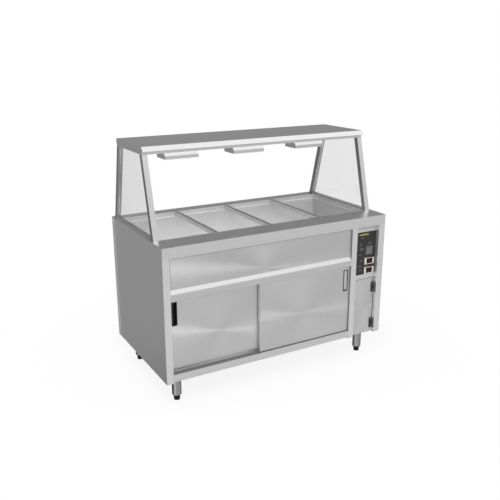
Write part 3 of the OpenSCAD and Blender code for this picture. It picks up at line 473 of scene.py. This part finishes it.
def screw_head(bm, place, radius, height):
    """Adds a pan head with a cross recess. Its axis points to -Y before it is placed."""
    part = bmesh.new()
    bmesh.ops.create_circle(part, cap_ends=True, segments=24, radius=radius)
    wall = bmesh.ops.extrude_edge_only(part, edges=part.edges[:])["geom"]
    bmesh.ops.translate(part, verts=points_in(wall), vec=-height * Z)
    top = [edge for edge in part.edges if all(point.co.z > -height / 2 for point in edge.verts)]
    bevelled(part, top, height * DOME, 3)
    half, reach = radius * ARM_HALF, radius * ARM_REACH
    for axis in (X, Y):
        for cut in (-reach, -half, half, reach):
            bmesh.ops.bisect_plane(part, geom=all_of(part), plane_co=cut * axis, plane_no=axis)
    cross = []
    for face in part.faces:
        middle = face.calc_center_median()
        near, far = sorted((abs(middle.x), abs(middle.y)))
        if near < half and far < reach and middle.z > -height / 2:
            cross.append(face)
    sunk = bmesh.ops.extrude_face_region(part, geom=cross)["geom"]
    bmesh.ops.delete(part, geom=cross, context="FACES")
    bmesh.ops.translate(part, verts=points_in(sunk), vec=-height * RECESS_DEPTH * Z)
    bmesh.ops.holes_fill(part, edges=[edge for edge in part.edges if edge.is_boundary])
    bmesh.ops.translate(part, verts=part.verts, vec=height * Z)
    forward = Matrix.Rotation(QUARTER_TURN, 4, "X")
    bmesh.ops.transform(part, matrix=place @ forward, verts=part.verts)
    joined(bm, part)


# Where each panel's brushing turns about, and how far it winds outwards
SWIRLS = {
    "upper_front_panel": ((-0.108, -0.370, 0.703), math.radians(10)),
    "left_door": ((-0.381, -0.344, 0.380), 0.0),
    "right_door": ((0.151, -0.370, 0.386), 0.0),
    "access_door": ((0.592, -0.358, 0.325), 0.0),
}
# What the apron and the stiles leave in sight of the upper front panel, and some more behind the ledge
PANEL_SHOWS = (Vector((-0.672, -0.370, 0.650)), Vector((0.474, -0.370, 0.8365)))


class HOTCUPBOARD_OT_panels(bpy.types.Operator):
    """Finishes the broad panels, each brushed in circles"""

    bl_idname = "hot_cupboard.panels"
    bl_label = "Panels"
    bl_options = {"REGISTER", "UNDO"}

    def execute(self, context):
        steel = settings_of(context).steel
        for name, (centre, twist) in SWIRLS.items():
            sheet = swirl_steel(name + "_steel", steel.casing, steel, centre, twist)
            if name == "upper_front_panel":
                # The upper panel takes painted shade along its seams, under the apron and beside the stiles
                shade_seams(sheet, *PANEL_SHOWS, steel)
            dress(sheet, [name], steel.edge)
        return {"FINISHED"}


# Heights between which the rail's top under the doors turns dark with painted shade, and depths between
# which it is unshaded again
SILL_SHADE = (0.1988, 0.1996)
SILL_UNSHADED = (-0.3598, -0.3594)
# How far up a face of the ledge looks where it starts to turn bright with painted light, and where it is
# bright
LEDGE_LIGHT = (0.3, 0.5)
# Heights between which the recess of the controls turns dark under the apron, a painted shadow
RECESS_SHADOW = (0.815, 0.845)
# Upright sheets are a little less metallic than the others
UPRIGHT_METAL = 0.9


def shaded_sill_steel(steel):
    """Rail steel with painted shade on its top in front of the guide fins."""
    material = straight_steel("rail_steel", *brushing(steel, steel.trim), GRAIN_ALONG_X)
    fade_to(material, along(material.node_tree, Z_AXIS), *SILL_SHADE, steel.painted_shade)
    fade_to(material, along(material.node_tree, Y_AXIS), *SILL_UNSHADED, steel.trim)
    return material


class HOTCUPBOARD_OT_casing(bpy.types.Operator):
    """Finishes the bench, the rails, the stiles, the sides and the rear"""

    bl_idname = "hot_cupboard.casing"
    bl_label = "Casing"
    bl_options = {"REGISTER", "UNDO"}

    def execute(self, context):
        steel = settings_of(context).steel
        bright = brushing(steel, steel.trim)
        dull = brushing(steel, steel.casing)
        dress(straight_steel("bench_steel", *bright, GRAIN_ALONG_X), ["bench_top"], steel.edge)
        ledge = straight_steel("ledge_steel", *dull, GRAIN_ALONG_X)
        # The ledge's faces that look up take the brighter trim colour as painted light
        fade_to(ledge, facing(ledge.node_tree, Z_AXIS), *LEDGE_LIGHT, steel.trim)
        dress(ledge, ["mid_rail"], steel.edge)
        dress(shaded_sill_steel(steel), ["bottom_rail"], steel.edge)
        recess = straight_steel("recess_steel", *bright, GRAIN_ALONG_X)
        fade_to(recess, along(recess.node_tree, Z_AXIS), *RECESS_SHADOW, steel.painted_shade)
        dress(recess, ["control_panel"], steel.edge)
        rear = straight_steel("upright_steel", *bright, GRAIN_ALONG_Z, UPRIGHT_METAL)
        dress(rear, ["rear_panel"], steel.edge)
        # The faces that look out to one side take painted shade, the centre stile's left wall deeper than
        # the sides, and the left side panel with its stile takes the duller casing colour as painted shade
        for name, finish, side, shade in (("centre_stile", bright, -1, steel.painted_shade),
                                          ("side_panel_left", dull, -1, steel.side),
                                          ("side_panel_right", bright, 1, steel.side)):
            sheet = straight_steel(name + "_steel", *finish, GRAIN_ALONG_Z, UPRIGHT_METAL)
            shade_side(sheet, side, shade)
            dress(sheet, [name], steel.edge)
        return {"FINISHED"}


class HOTCUPBOARD_OT_well(bpy.types.Operator):
    """Finishes the well and its divider bars"""

    bl_idname = "hot_cupboard.well"
    bl_label = "Well"
    bl_options = {"REGISTER", "UNDO"}

    def execute(self, context):
        steel = settings_of(context).steel
        tank = plain_steel("tank_steel", steel.tank, roughness=0.34, metallic=0.62)
        # The well's right wall, which looks left, takes painted shade
        shade_side(tank, -1, steel.shaded)
        dress(tank, ["well_tank"], steel.edge)
        bars = ["divider_bar_left", "divider_bar_middle", "divider_bar_right"]
        dress(plain_steel("bar_steel", steel.casing, roughness=0.36), bars, steel.edge)
        return {"FINISHED"}


class HOTCUPBOARD_OT_inside(bpy.types.Operator):
    """Finishes the inside of the cupboard and the door gear"""

    bl_idname = "hot_cupboard.inside"
    bl_label = "Inside"
    bl_options = {"REGISTER", "UNDO"}

    def execute(self, context):
        settings = settings_of(context)
        sheet = plain_steel("inner_steel", settings.steel.inside, roughness=0.42, metallic=0.4)
        sheets = ["base_pan", "door_track", "cupboard_liner", "partition", "cupboard_floor",
                  "cupboard_shelf", "shelf_angles"]
        dress(sheet, sheets, settings.steel.edge)
        nylon = moulded("roller_nylon", settings.moulding.nylon, roughness=0.45, Subsurface_Weight=0.1)
        dress(nylon, ["left_roller_a", "left_roller_b", "right_roller_a", "right_roller_b"])
        return {"FINISHED"}


# Depths between which the posts turn to the rear ones' colour, a painted shade
POST_SHADE = (0.12, 0.18)


class HOTCUPBOARD_OT_gantry(bpy.types.Operator):
    """Finishes the posts, the shelf and the side glass"""

    bl_idname = "hot_cupboard.gantry"
    bl_label = "Gantry"
    bl_options = {"REGISTER", "UNDO"}

    def execute(self, context):
        settings = settings_of(context)
        steel = settings.steel
        dull = brushing(steel, steel.casing)
        shelf = straight_steel("shelf_steel", *dull, GRAIN_ALONG_X)
        dress(shelf, ["gantry_shelf", "gantry_frame", "glass_channels"], steel.edge)
        posts = straight_steel("post_steel", *dull, GRAIN_ALONG_Z)
        fade_to(posts, along(posts.node_tree, Y_AXIS), *POST_SHADE, steel.shaded)
        # The posts' faces that look left take painted shade too
        shade_side(posts, -1, steel.painted_shade)
        dress(posts, ["gantry_posts"], steel.edge)
        glass, _, _ = blank(
            "side_glass", settings.moulding.glass, roughness=0.0, Transmission_Weight=1.0, IOR=1.5)
        dress(glass, ["side_glass"])
        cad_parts["side_glass"].visible_shadow = False
        return {"FINISHED"}


# How far up a face of a hood looks where it starts to turn dull, and where it is dull
HOOD_FADE = (0.2, 0.4)
# How metallic a hood is on its other faces and on top
HOOD_METAL = (1.0, 0.2)


class HOTCUPBOARD_OT_lamps(bpy.types.Operator):
    """Finishes the heat lamps"""

    bl_idname = "hot_cupboard.lamps"
    bl_label = "Lamps"
    bl_options = {"REGISTER", "UNDO"}

    def execute(self, context):
        settings = settings_of(context)
        steel = settings.steel
        hood = straight_steel("hood_steel", *brushing(steel, steel.hood), GRAIN_ALONG_X)
        tree = hood.node_tree
        metal = ranged(tree, facing(tree, Z_AXIS), *HOOD_FADE, *HOOD_METAL)
        tree.links.new(metal, shader_of(hood).inputs["Metallic"])
        dress(hood, ["lamp_hoods"])
        ceramic = moulded("lamp_ceramic", settings.moulding.ceramic, roughness=0.7)
        dress(ceramic, ["lamp_holders"])
        quartz, _, _ = blank(
            "lamp_quartz", settings.moulding.quartz, roughness=0.35, Transmission_Weight=0.6, IOR=1.46)
        dress(quartz, ["lamp_tubes"])
        return {"FINISHED"}


# Half the width of a finger cup's floor, its distance from the cup's ends and the plate's thickness
CUP_HALF, CUP_MARGIN, PLATE_THICK = 0.0109, 0.0051, 0.0004
# How deep the floor lies at its shallow side and at its deep side
CUP_SHALLOW, CUP_DEEP = 0.0025, 0.0140


def handle_floor(cup, door, deep_side, material):
    """A plate on a cup's floor, which slants to its deep side, 1 for the right and -1 for the left."""
    low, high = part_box(cup)
    slant = Matrix.Identity(4)
    slant[1][0] = deep_side * (CUP_DEEP - CUP_SHALLOW) / (2 * CUP_HALF)
    middle = Vector(((low.x + high.x) / 2, low.y + (CUP_SHALLOW + CUP_DEEP) / 2, 0))
    bm = bmesh.new()
    cuboid(bm, (-CUP_HALF, -PLATE_THICK, low.z + CUP_MARGIN), (CUP_HALF, 0, high.z - CUP_MARGIN),
           Matrix.Translation(middle) @ slant)
    bevelled(bm, bm.edges[:], PLATE_THICK / 3, 2)
    finished(cup + "_floor", bm, material, door)


class HOTCUPBOARD_OT_handles(bpy.types.Operator):
    """Finishes the finger cups in the doors and lays a plate on their floors, black left and steel right"""

    bl_idname = "hot_cupboard.handles"
    bl_label = "Handles"
    bl_options = {"REGISTER", "UNDO"}

    def execute(self, context):
        settings = settings_of(context)
        black = moulded("handle_black", settings.moulding.black, roughness=0.4)
        plate = plain_steel("handle_plate", settings.steel.inside, roughness=0.4)
        dress(black, ["left_handle", "right_handle"], settings.steel.edge)
        handle_floor("left_handle", "left_door", 1, black)
        handle_floor("right_handle", "right_door", -1, plate)
        return {"FINISHED"}


# Left end, depth below the film's top and length of each legend bar, from the film's left edge
LEGENDS = ((0.021, 0.015, 0.010), (0.046, 0.037, 0.020), (0.034, 0.071, 0.016), (0.036, 0.084, 0.013),
           (0.040, 0.103, 0.026), (0.040, 0.109, 0.018), (0.032, 0.141, 0.018), (0.042, 0.178, 0.019),
           (0.030, 0.212, 0.023), (0.038, 0.236, 0.020), (0.095, 0.073, 0.031))
LEGEND_HEIGHT = 0.0026
# The same of the coloured bars, with their heights
STRIPES = ((0.034, 0.016, 0.066, 0.0085), (0.068, 0.162, 0.038, 0.0022), (0.068, 0.221, 0.040, 0.0022))


def film_bar(bm, left, down, long, tall, thick):
    """A bar printed on the film."""
    low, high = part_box("control_overlay")
    start, middle = low.x + left, high.z - down
    cuboid(bm, (start, low.y - thick, middle - tall / 2), (start + long, low.y, middle + tall / 2))


def print_film(controls, printed):
    """Plain bars for legends, and a stripe and two rules."""
    bars, stripes = bmesh.new(), bmesh.new()
    for left, down, long in LEGENDS:
        film_bar(bars, left, down, long, LEGEND_HEIGHT, controls.print_thickness)
    for left, down, long, tall in STRIPES:
        film_bar(stripes, left, down, long, tall, controls.print_thickness)
    olive = moulded("stripe_olive", controls.stripe, roughness=0.5)
    finished("film_legends", bars, printed, "cabinet")
    finished("film_stripes", stripes, olive, "cabinet")


# The rocker's axis, its tilt at rest and the shape of its dished face
ROCKER_AXIS = Vector((0.620, -0.357, 0.688))
ROCKER_TILT = math.radians(7)
ROCKER_FRONT, ROCKER_DIP, ROCKER_HALF = 0.0065, 0.0025, 0.0215
# Half the height of the rocker's marks, half the width of the bar and the width of the ring
MARK_HALF, STROKE_HALF, RING_WIDTH = 0.0045, 0.0008, 0.0014


def ring(bm, radius, width, thick, place):
    """A flat ring, spun about the Y axis from the upper face of a block, and then placed."""
    part = bmesh.new()
    cuboid(part, (radius - width, -thick, 0), (radius, 0, width))
    others = [face for face in part.faces if face.calc_center_median().z < 0.75 * width]
    bmesh.ops.delete(part, geom=others, context="FACES")
    bmesh.ops.translate(part, verts=part.verts, vec=-width * Z)
    bmesh.ops.spin(part, geom=all_of(part), cent=(0, 0, 0), axis=Y, angle=2 * math.pi, steps=32,
                   use_merge=True)
    inner = [face for face in part.faces if all(len(edge.link_faces) > 2 for edge in face.edges)]
    bmesh.ops.delete(part, geom=inner, context="FACES")
    bmesh.ops.transform(part, matrix=place, verts=part.verts)
    joined(bm, part)


def mark_switch(controls, material):
    """A bar on the upper half of the rocker and a ring on the lower half."""
    slope = math.atan2(ROCKER_DIP, ROCKER_HALF)
    thick = controls.print_thickness
    bm = bmesh.new()
    for side in (1, -1):
        middle = Vector((0, ROCKER_DIP / 2 - ROCKER_FRONT, side * ROCKER_HALF / 2))
        place = (Matrix.Translation(ROCKER_AXIS) @ Matrix.Rotation(ROCKER_TILT, 4, "X")
                 @ Matrix.Translation(middle) @ Matrix.Rotation(side * slope, 4, "X"))
        if side > 0:
            cuboid(bm, (-STROKE_HALF, -thick, -MARK_HALF), (STROKE_HALF, 0, MARK_HALF), place)
        else:
            ring(bm, MARK_HALF, RING_WIDTH, thick, place)
    finished("switch_marks", bm, material, "switch_rocker")


# Half the width of a display's lens, and its reach below and above the controller's middle
LENS_HALF, LENS_BELOW, LENS_ABOVE = 0.0232, 0.0148, 0.0170
# The lens's thickness and the radius of its edges
LENS_THICK, LENS_EDGE = 0.0005, 0.0002
# Width and height of a digit between the middles of its bars, the bars' width and the pitch of the digits
DIGIT_WIDE, DIGIT_TALL, DIGIT_BAR, DIGIT_PITCH = 0.0085, 0.0145, 0.0019, 0.0125
# The gap at the ends of a bar, its thickness and how far a digit leans over its height
BAR_GAP, BAR_THICK, DIGIT_LEAN = 0.0003, 0.00008, 0.12
# The bars of a digit that are lit: top, upper left, upper right, middle, lower left, lower right, bottom
DIGIT_BARS = {
    "0": "1110111", "1": "0010010", "2": "1011101", "3": "1011011", "4": "0111010",
    "5": "1101011", "6": "1101111", "7": "1010010", "8": "1111111", "9": "1111011",
}
# Middle of each bar in the same order, across and up, in halves of the digit's width and height
BAR_PLACES = ((0, 1), (-1, 0.5), (1, 0.5), (0, 0), (-1, -0.5), (1, -0.5), (0, -1))


def digit_bar(bm, across, up, place):
    """One bar of a digit, with a gap at its ends. A bar in the middle lies flat, and the others stand."""
    x, z = across * DIGIT_WIDE / 2, up * DIGIT_TALL / 2
    short = DIGIT_BAR / 2
    if across == 0:
        half_x, half_z = DIGIT_WIDE / 2 - short - BAR_GAP, short
    else:
        half_x, half_z = short, DIGIT_TALL / 4 - short - BAR_GAP
    cuboid(bm, (x - half_x, -BAR_THICK, z - half_z), (x + half_x, 0, z + half_z), place)


def show_reading(controller, reading, window, lit):
    """A dark lens over the controller's window, with a number on it."""
    low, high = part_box(controller)
    middle = (low + high) / 2
    front = low.y - LENS_THICK
    lens = bmesh.new()
    cuboid(lens, (middle.x - LENS_HALF, front, middle.z - LENS_BELOW),
           (middle.x + LENS_HALF, low.y, middle.z + LENS_ABOVE))
    bevelled(lens, lens.edges[:], LENS_EDGE, 2)
    finished(controller + "_window", lens, window, "cabinet")
    digits = bmesh.new()
    lean = Matrix.Identity(4)
    lean[0][2] = DIGIT_LEAN
    for index, digit in enumerate(reading):
        aside = (index - (len(reading) - 1) / 2) * DIGIT_PITCH
        place = Matrix.Translation((middle.x + aside, front, middle.z)) @ lean
        for on, (across, up) in zip(DIGIT_BARS[digit], BAR_PLACES):
            if on == "1":
                digit_bar(digits, across, up, place)
    finished(controller + "_digits", digits, lit, "cabinet")


# From an arrowhead's middle to its points
ARROW_RADIUS = 0.0026


def mark_button(button, upward, controls, material):
    """An arrowhead on a button, which points up or down."""
    low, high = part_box(button)
    middle = (low + high) / 2
    thick = controls.print_thickness
    bm = bmesh.new()
    bmesh.ops.create_cone(
        bm, cap_ends=True, segments=3, radius1=ARROW_RADIUS, radius2=ARROW_RADIUS, depth=thick)
    turn = Matrix.Rotation(0 if upward else HALF_TURN, 4, "Z")
    forward = Matrix.Rotation(QUARTER_TURN, 4, "X")
    place = Matrix.Translation((middle.x, low.y - thick / 2, middle.z))
    bmesh.ops.transform(bm, matrix=place @ forward @ turn, verts=bm.verts)
    finished(button + "_mark", bm, material, button)


class HOTCUPBOARD_OT_controls(bpy.types.Operator):
    """Finishes the film, the switch and the controllers, with their marks and displays"""

    bl_idname = "hot_cupboard.controls"
    bl_label = "Controls"
    bl_options = {"REGISTER", "UNDO"}

    def execute(self, context):
        settings = settings_of(context)
        controls, edge = settings.controls, settings.steel.edge
        dress(moulded("overlay_film", controls.film, roughness=0.5), ["control_overlay"])
        grey = moulded("switch_grey", controls.switch, roughness=0.45)
        dress(grey, ["switch_bezel", "switch_rocker"], edge)
        white = moulded("controller_white", controls.controller, roughness=0.3)
        dress(white, ["upper_controller", "lower_controller"])
        buttons = ["upper_button_left", "upper_button_right", "lower_button_left", "lower_button_right"]
        dress(white, buttons, edge)
        printed = moulded("mark_grey", controls.mark, roughness=0.5)
        print_film(controls, printed)
        mark_switch(controls, printed)
        window = moulded("display_black", controls.window, roughness=0.08, Specular_IOR_Level=0.12)
        lit, _, _ = blank("digit_red", controls.unlit, roughness=0.4,
                          Emission_Color=(*controls.digit, 1), Emission_Strength=0.35)
        show_reading("upper_controller", controls.upper_reading, window, lit)
        show_reading("lower_controller", controls.lower_reading, window, lit)
        for button in buttons:
            mark_button(button, button.endswith("right"), controls, printed)
        return {"FINISHED"}


# How much lighter the leaves on the frame are than those on the door, as painted light on the leaves that
# look to the side
FRAME_LEAF_LIT = 4
# Heights of the hinges' lower ends, and of the screws above them
HINGE_HEIGHTS, HINGE_SCREW_RISES = (0.176, 0.413), (0.009, 0.053)
# Across and depth of the screws on the door and on the frame
DOOR_SCREW, FRAME_SCREW = (0.6574, -0.360), (0.670, -0.3726)
HINGE_SCREW = {"radius": 0.0030, "height": 0.0008}


class HOTCUPBOARD_OT_hinges(bpy.types.Operator):
    """Finishes the hinges of the access door and sets their screws"""

    bl_idname = "hot_cupboard.hinges"
    bl_label = "Hinges"
    bl_options = {"REGISTER", "UNDO"}

    def execute(self, context):
        settings = settings_of(context)
        black = settings.moulding.hinge
        # The frame's leaves and the pins take a lighter copy of the black, as painted light
        grey = [FRAME_LEAF_LIT * part for part in black]
        dress(moulded("hinge_black", black, roughness=0.4), ["hinge_door_leaves"])
        dress(moulded("hinge_grey", grey, roughness=0.4), ["hinge_frame_leaves", "hinge_pins"])
        dark = plain_steel("hinge_screw_steel", settings.steel.dark, roughness=0.35)
        door, jamb = bmesh.new(), bmesh.new()
        to_left = Matrix.Rotation(-QUARTER_TURN, 4, "Z")
        for height in HINGE_HEIGHTS:
            for rise in HINGE_SCREW_RISES:
                screw_head(door, Matrix.Translation((*DOOR_SCREW, height + rise)), **HINGE_SCREW)
                screw_head(jamb, Matrix.Translation((*FRAME_SCREW, height + rise)) @ to_left, **HINGE_SCREW)
        finished("hinge_door_screws", door, dark, "access_door")
        finished("hinge_frame_screws", jamb, dark, "cabinet")
        return {"FINISHED"}


PANEL_SCREW = {"radius": 0.004, "height": 0.0016}
FRONT_SCREWS = ((-0.663, -0.370, 0.695), (0.461, -0.370, 0.695))
# Depth of the rear screws, and their places across and up
REAR_DEPTH = 0.375
REAR_ACROSS, REAR_UP = (-0.695, 0.695), (0.200, 0.495, 0.790)


class HOTCUPBOARD_OT_screws(bpy.types.Operator):
    """Sets cross-recess screws in the upper front panel and the rear panel"""

    bl_idname = "hot_cupboard.screws"
    bl_label = "Screws"
    bl_options = {"REGISTER", "UNDO"}

    def execute(self, context):
        steel = settings_of(context).steel
        bm = bmesh.new()
        for place in FRONT_SCREWS:
            screw_head(bm, Matrix.Translation(place), **PANEL_SCREW)
        to_rear = Matrix.Rotation(HALF_TURN, 4, "Z")
        for across in REAR_ACROSS:
            for up in REAR_UP:
                screw_head(bm, Matrix.Translation((across, REAR_DEPTH, up)) @ to_rear, **PANEL_SCREW)
        bright = plain_steel("screw_steel", steel.casing, roughness=0.3)
        screws = finished("casing_screws", bm, bright, "cabinet")
        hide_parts("panel_screws")
        return {"FINISHED"}


class HOTCUPBOARD_OT_legs(bpy.types.Operator):
    """Finishes the legs and the feet"""

    bl_idname = "hot_cupboard.legs"
    bl_label = "Legs"
    bl_options = {"REGISTER", "UNDO"}

    def execute(self, context):
        settings = settings_of(context)
        polished = plain_steel(
            "leg_steel", settings.steel.polished, roughness=0.14, Specular_Tint=(0.1, 0.1, 0.1, 1))
        dress(polished, ["legs"])
        black = moulded("foot_black", settings.moulding.black, roughness=0.25, Specular_IOR_Level=0.15)
        dress(black, ["foot_front_left", "foot_front_right", "foot_rear_left", "foot_rear_right"])
        return {"FINISHED"}


class HOTCUPBOARD_OT_heating(bpy.types.Operator):
    """Finishes the heating and the electrical pieces"""

    bl_idname = "hot_cupboard.heating"
    bl_label = "Heating"
    bl_options = {"REGISTER", "UNDO"}

    def execute(self, context):
        settings = settings_of(context)
        steel, moulding = settings.steel, settings.moulding
        scorched = plain_steel("element_steel", steel.element, roughness=0.5)
        dress(scorched, ["well_element", "cupboard_element"])
        dress(plain_steel("probe_steel", steel.casing, roughness=0.3), ["temperature_probes"])
        dress(moulded("terminal_ivory", moulding.ivory, roughness=0.45), ["terminal_block"])
        dress(moulded("gland_black", moulding.black, roughness=0.45), ["cable_gland"])
        return {"FINISHED"}


# Half the floor's width, and how far it lies below the feet
FLOOR_REACH, FLOOR_DROP = 40, 0.0005
# Distances from the cupboard's middle between which the floor turns plain white to the eye
FLOOR_FADE = (0.8, 1.7)


def seen_rays(tree):
    """One for what the camera sees, also through glass, and nought after a bounce."""
    path = node(tree, "ShaderNodeLightPath").outputs
    bounces = maths(tree, "ADD", path["Diffuse Depth"], path["Glossy Depth"])
    return maths(tree, "LESS_THAN", bounces, 0.5)


def make_floor(context, studio):
    """A pale floor that is white to the eye further out and keeps the shadow near the cupboard."""
    bm = bmesh.new()
    bmesh.ops.create_grid(bm, x_segments=1, y_segments=1, size=FLOOR_REACH)
    bmesh.ops.translate(bm, verts=bm.verts, vec=-FLOOR_DROP * Z)
    mesh = bpy.data.meshes.new("floor")
    bm.to_mesh(mesh)
    bm.free()
    floor = bpy.data.objects.new("floor", mesh)
    context.scene.collection.objects.link(floor)
    floor.visible_glossy = False
    material, tree, shader = blank("floor", studio.floor, roughness=1.0)
    away = distance(tree, object_place(tree))
    white = ranged(tree, away, *FLOOR_FADE, studio.floor_white, 1.0)
    factor = maths(tree, "MULTIPLY", seen_rays(tree), white)
    plain = node(tree, "ShaderNodeEmission", {"Strength": 1.0}).outputs[0]
    surface = mixed_shaders(tree, factor, shader.outputs[0], plain)
    tree.links.new(surface, tree.nodes["Material Output"].inputs["Surface"])
    mesh.materials.append(material)


# Light that steel sees in front of the cupboard, at heights from straight down to straight up
FRONT_LIGHT = ((0.0, 0.50), (0.18, 0.58), (0.255, 0.78), (0.285, 0.72), (0.32, 0.61), (0.36, 0.54),
               (0.42, 0.60), (0.52, 0.74), (0.655, 0.80), (0.74, 1.35), (0.82, 1.45), (1.0, 1.25))
# The same behind the cupboard
BACK_LIGHT = ((0.0, 0.08), (0.258, 0.10), (0.285, 0.33), (0.36, 0.28), (0.43, 0.40), (0.465, 0.36),
              (0.5, 0.10), (0.57, 0.09), (0.645, 0.18), (0.8, 0.34), (1.0, 0.5))
# How far back a direction points where the light behind gives way, and where the light in front is whole
LIGHT_FADE = (0.35, -0.25)
# Heights and sideways places of the low strip
STRIP_HEIGHT = ((0.318, 0), (0.325, 1), (0.345, 1), (0.352, 0))
STRIP_ACROSS = ((0.36, 0), (0.40, 1), (0.54, 1), (0.58, 0))
# The same of the softbox on the left, which the legs reflect
SIDE_HEIGHT = ((0.15, 0), (0.20, 1), (0.31, 1), (0.33, 0))
SIDE_ACROSS = ((0.03, 0), (0.06, 1), (0.20, 1), (0.24, 0))


def gradient(tree, value, stops):
    """Brightness at places along a value."""
    ramp = node(tree, "ShaderNodeValToRGB", {0: value})
    elements = ramp.color_ramp.elements
    while len(elements) < len(stops):
        elements.new(0.5)
    for element, (place, bright) in zip(elements, stops):
        element.position = place
        element.color = (bright, bright, bright, 1)
    return ramp.outputs[0]


def steel_light(tree, studio):
    """What steel reflects: light in front and behind, a low strip and a softbox."""
    parts = parts_of(tree, node(tree, "ShaderNodeTexCoord").outputs["Generated"])
    height = ranged(tree, parts[Z_AXIS], -1.0, 1.0)
    across = ranged(tree, parts[X_AXIS], -1.0, 1.0)
    ahead = ranged(tree, parts[Y_AXIS], *LIGHT_FADE, interpolation_type="SMOOTHSTEP")
    light = mixed(tree, ahead, gradient(tree, height, BACK_LIGHT), gradient(tree, height, FRONT_LIGHT))
    for heights, places, bright in ((STRIP_HEIGHT, STRIP_ACROSS, studio.strip),
                                    (SIDE_HEIGHT, SIDE_ACROSS, studio.side)):
        patch = maths(tree, "MULTIPLY", ahead, gradient(tree, height, heights))
        patch = maths(tree, "MULTIPLY", patch, gradient(tree, across, places))
        light = mixed(tree, patch, light, (bright, bright, bright, 1), "ADD")
    return light


def background(tree, light, power):
    return node(tree, "ShaderNodeBackground", {"Color": light, "Strength": power}).outputs[0]


def make_world(context, studio):
    """White to the eye and through glass, a graded studio to steel, and an even fill to the rest."""
    world = bpy.data.worlds.new("studio")
    context.scene.world = world
    world.use_nodes = True
    tree = world.node_tree
    tree.nodes.clear()
    path = node(tree, "ShaderNodeLightPath").outputs
    after_steel = maths(tree, "MULTIPLY", path["Is Transmission Ray"], path["Glossy Depth"])
    shine = maths(tree, "MAXIMUM", path["Is Glossy Ray"], after_steel)
    fill = background(tree, WHITE, studio.fill)
    lights = mixed_shaders(tree, shine, fill, background(tree, steel_light(tree, studio), 1.0))
    surface = mixed_shaders(tree, seen_rays(tree), lights, background(tree, WHITE, 1.0))
    node(tree, "ShaderNodeOutputWorld", {"Surface": surface})


# Width of the softbox, its place and what it points at
KEY_WIDTH, KEY_PLACE, KEY_AIM = 2.5, (-1.5, -2.5, 3.6), Vector((0, 0, 0.6))
# Length, depth and place of the flat light over the lamps
GLOW_LENGTH, GLOW_DEPTH, GLOW_PLACE = 1.25, 0.22, (0, 0.04, 1.3205)


def area_lamp(context, name, power, place):
    """A flat light that steel doesn't reflect."""
    lamp = bpy.data.objects.new(name, bpy.data.lights.new(name, "AREA"))
    context.scene.collection.objects.link(lamp)
    lamp.data.energy = power
    lamp.location = place
    lamp.visible_glossy = False
    return lamp


def make_key(context, studio):
    lamp = area_lamp(context, "softbox", studio.key, KEY_PLACE)
    lamp.data.size = KEY_WIDTH
    lamp.rotation_euler = (KEY_AIM - lamp.location).to_track_quat("-Z", "Y").to_euler()


def make_glow(context, studio):
    """A flat light over the lamps, which lights their hoods and the well."""
    lamp = area_lamp(context, "glow", studio.glow, GLOW_PLACE)
    lamp.data.shape = "RECTANGLE"
    lamp.data.size = GLOW_LENGTH
    lamp.data.size_y = GLOW_DEPTH
    lamp.visible_camera = False


def make_camera(context, studio):
    lens = bpy.data.cameras.new("camera")
    lens.sensor_width = 36
    lens.lens = lens.sensor_width * studio.focal_length / studio.picture
    camera = bpy.data.objects.new("camera", lens)
    context.scene.collection.objects.link(camera)
    camera.location = studio.camera_place
    camera.rotation_euler = (QUARTER_TURN - studio.camera_dip, 0, -studio.camera_turn)
    context.scene.camera = camera


class HOTCUPBOARD_OT_stage(bpy.types.Operator):
    """Makes the floor, the light and the camera"""

    bl_idname = "hot_cupboard.stage"
    bl_label = "Stage"
    bl_options = {"REGISTER", "UNDO"}

    def execute(self, context):
        studio = settings_of(context).studio
        context.scene.view_settings.view_transform = "Standard"
        make_floor(context, studio)
        make_world(context, studio)
        make_key(context, studio)
        make_glow(context, studio)
        make_camera(context, studio)
        return {"FINISHED"}


OPERATORS = (
    HOTCUPBOARD_OT_panels,
    HOTCUPBOARD_OT_casing,
    HOTCUPBOARD_OT_well,
    HOTCUPBOARD_OT_inside,
    HOTCUPBOARD_OT_gantry,
    HOTCUPBOARD_OT_lamps,
    HOTCUPBOARD_OT_handles,
    HOTCUPBOARD_OT_controls,
    HOTCUPBOARD_OT_hinges,
    HOTCUPBOARD_OT_screws,
    HOTCUPBOARD_OT_legs,
    HOTCUPBOARD_OT_heating,
    HOTCUPBOARD_OT_stage,
)


class HOTCUPBOARD_PT_sidebar(bpy.types.Panel):
    """Lists the steps that finish the hot cupboard"""

    bl_label = "Hot Cupboard"
    bl_space_type = "VIEW_3D"
    bl_region_type = "UI"
    bl_category = "Cupboard"

    def draw(self, context):
        for operator in OPERATORS:
            self.layout.operator(operator.bl_idname)


CLASSES = (
    SteelSettings,
    ControlSettings,
    MouldingSettings,
    StudioSettings,
    CupboardSettings,
    *OPERATORS,
    HOTCUPBOARD_PT_sidebar,
)


def register():
    for item in CLASSES:
        bpy.utils.register_class(item)
    bpy.types.Scene.hot_cupboard = PointerProperty(
        name="Hot Cupboard", description="Sizes and colours of the hot cupboard", type=CupboardSettings)


def unregister():
    del bpy.types.Scene.hot_cupboard
    for item in reversed(CLASSES):
        bpy.utils.unregister_class(item)


def main():
    register()
    for operator in OPERATORS:
        step = operator.bl_idname.split(".")[1]
        getattr(bpy.ops.hot_cupboard, step)()


if __name__ == "__main__":
    main()
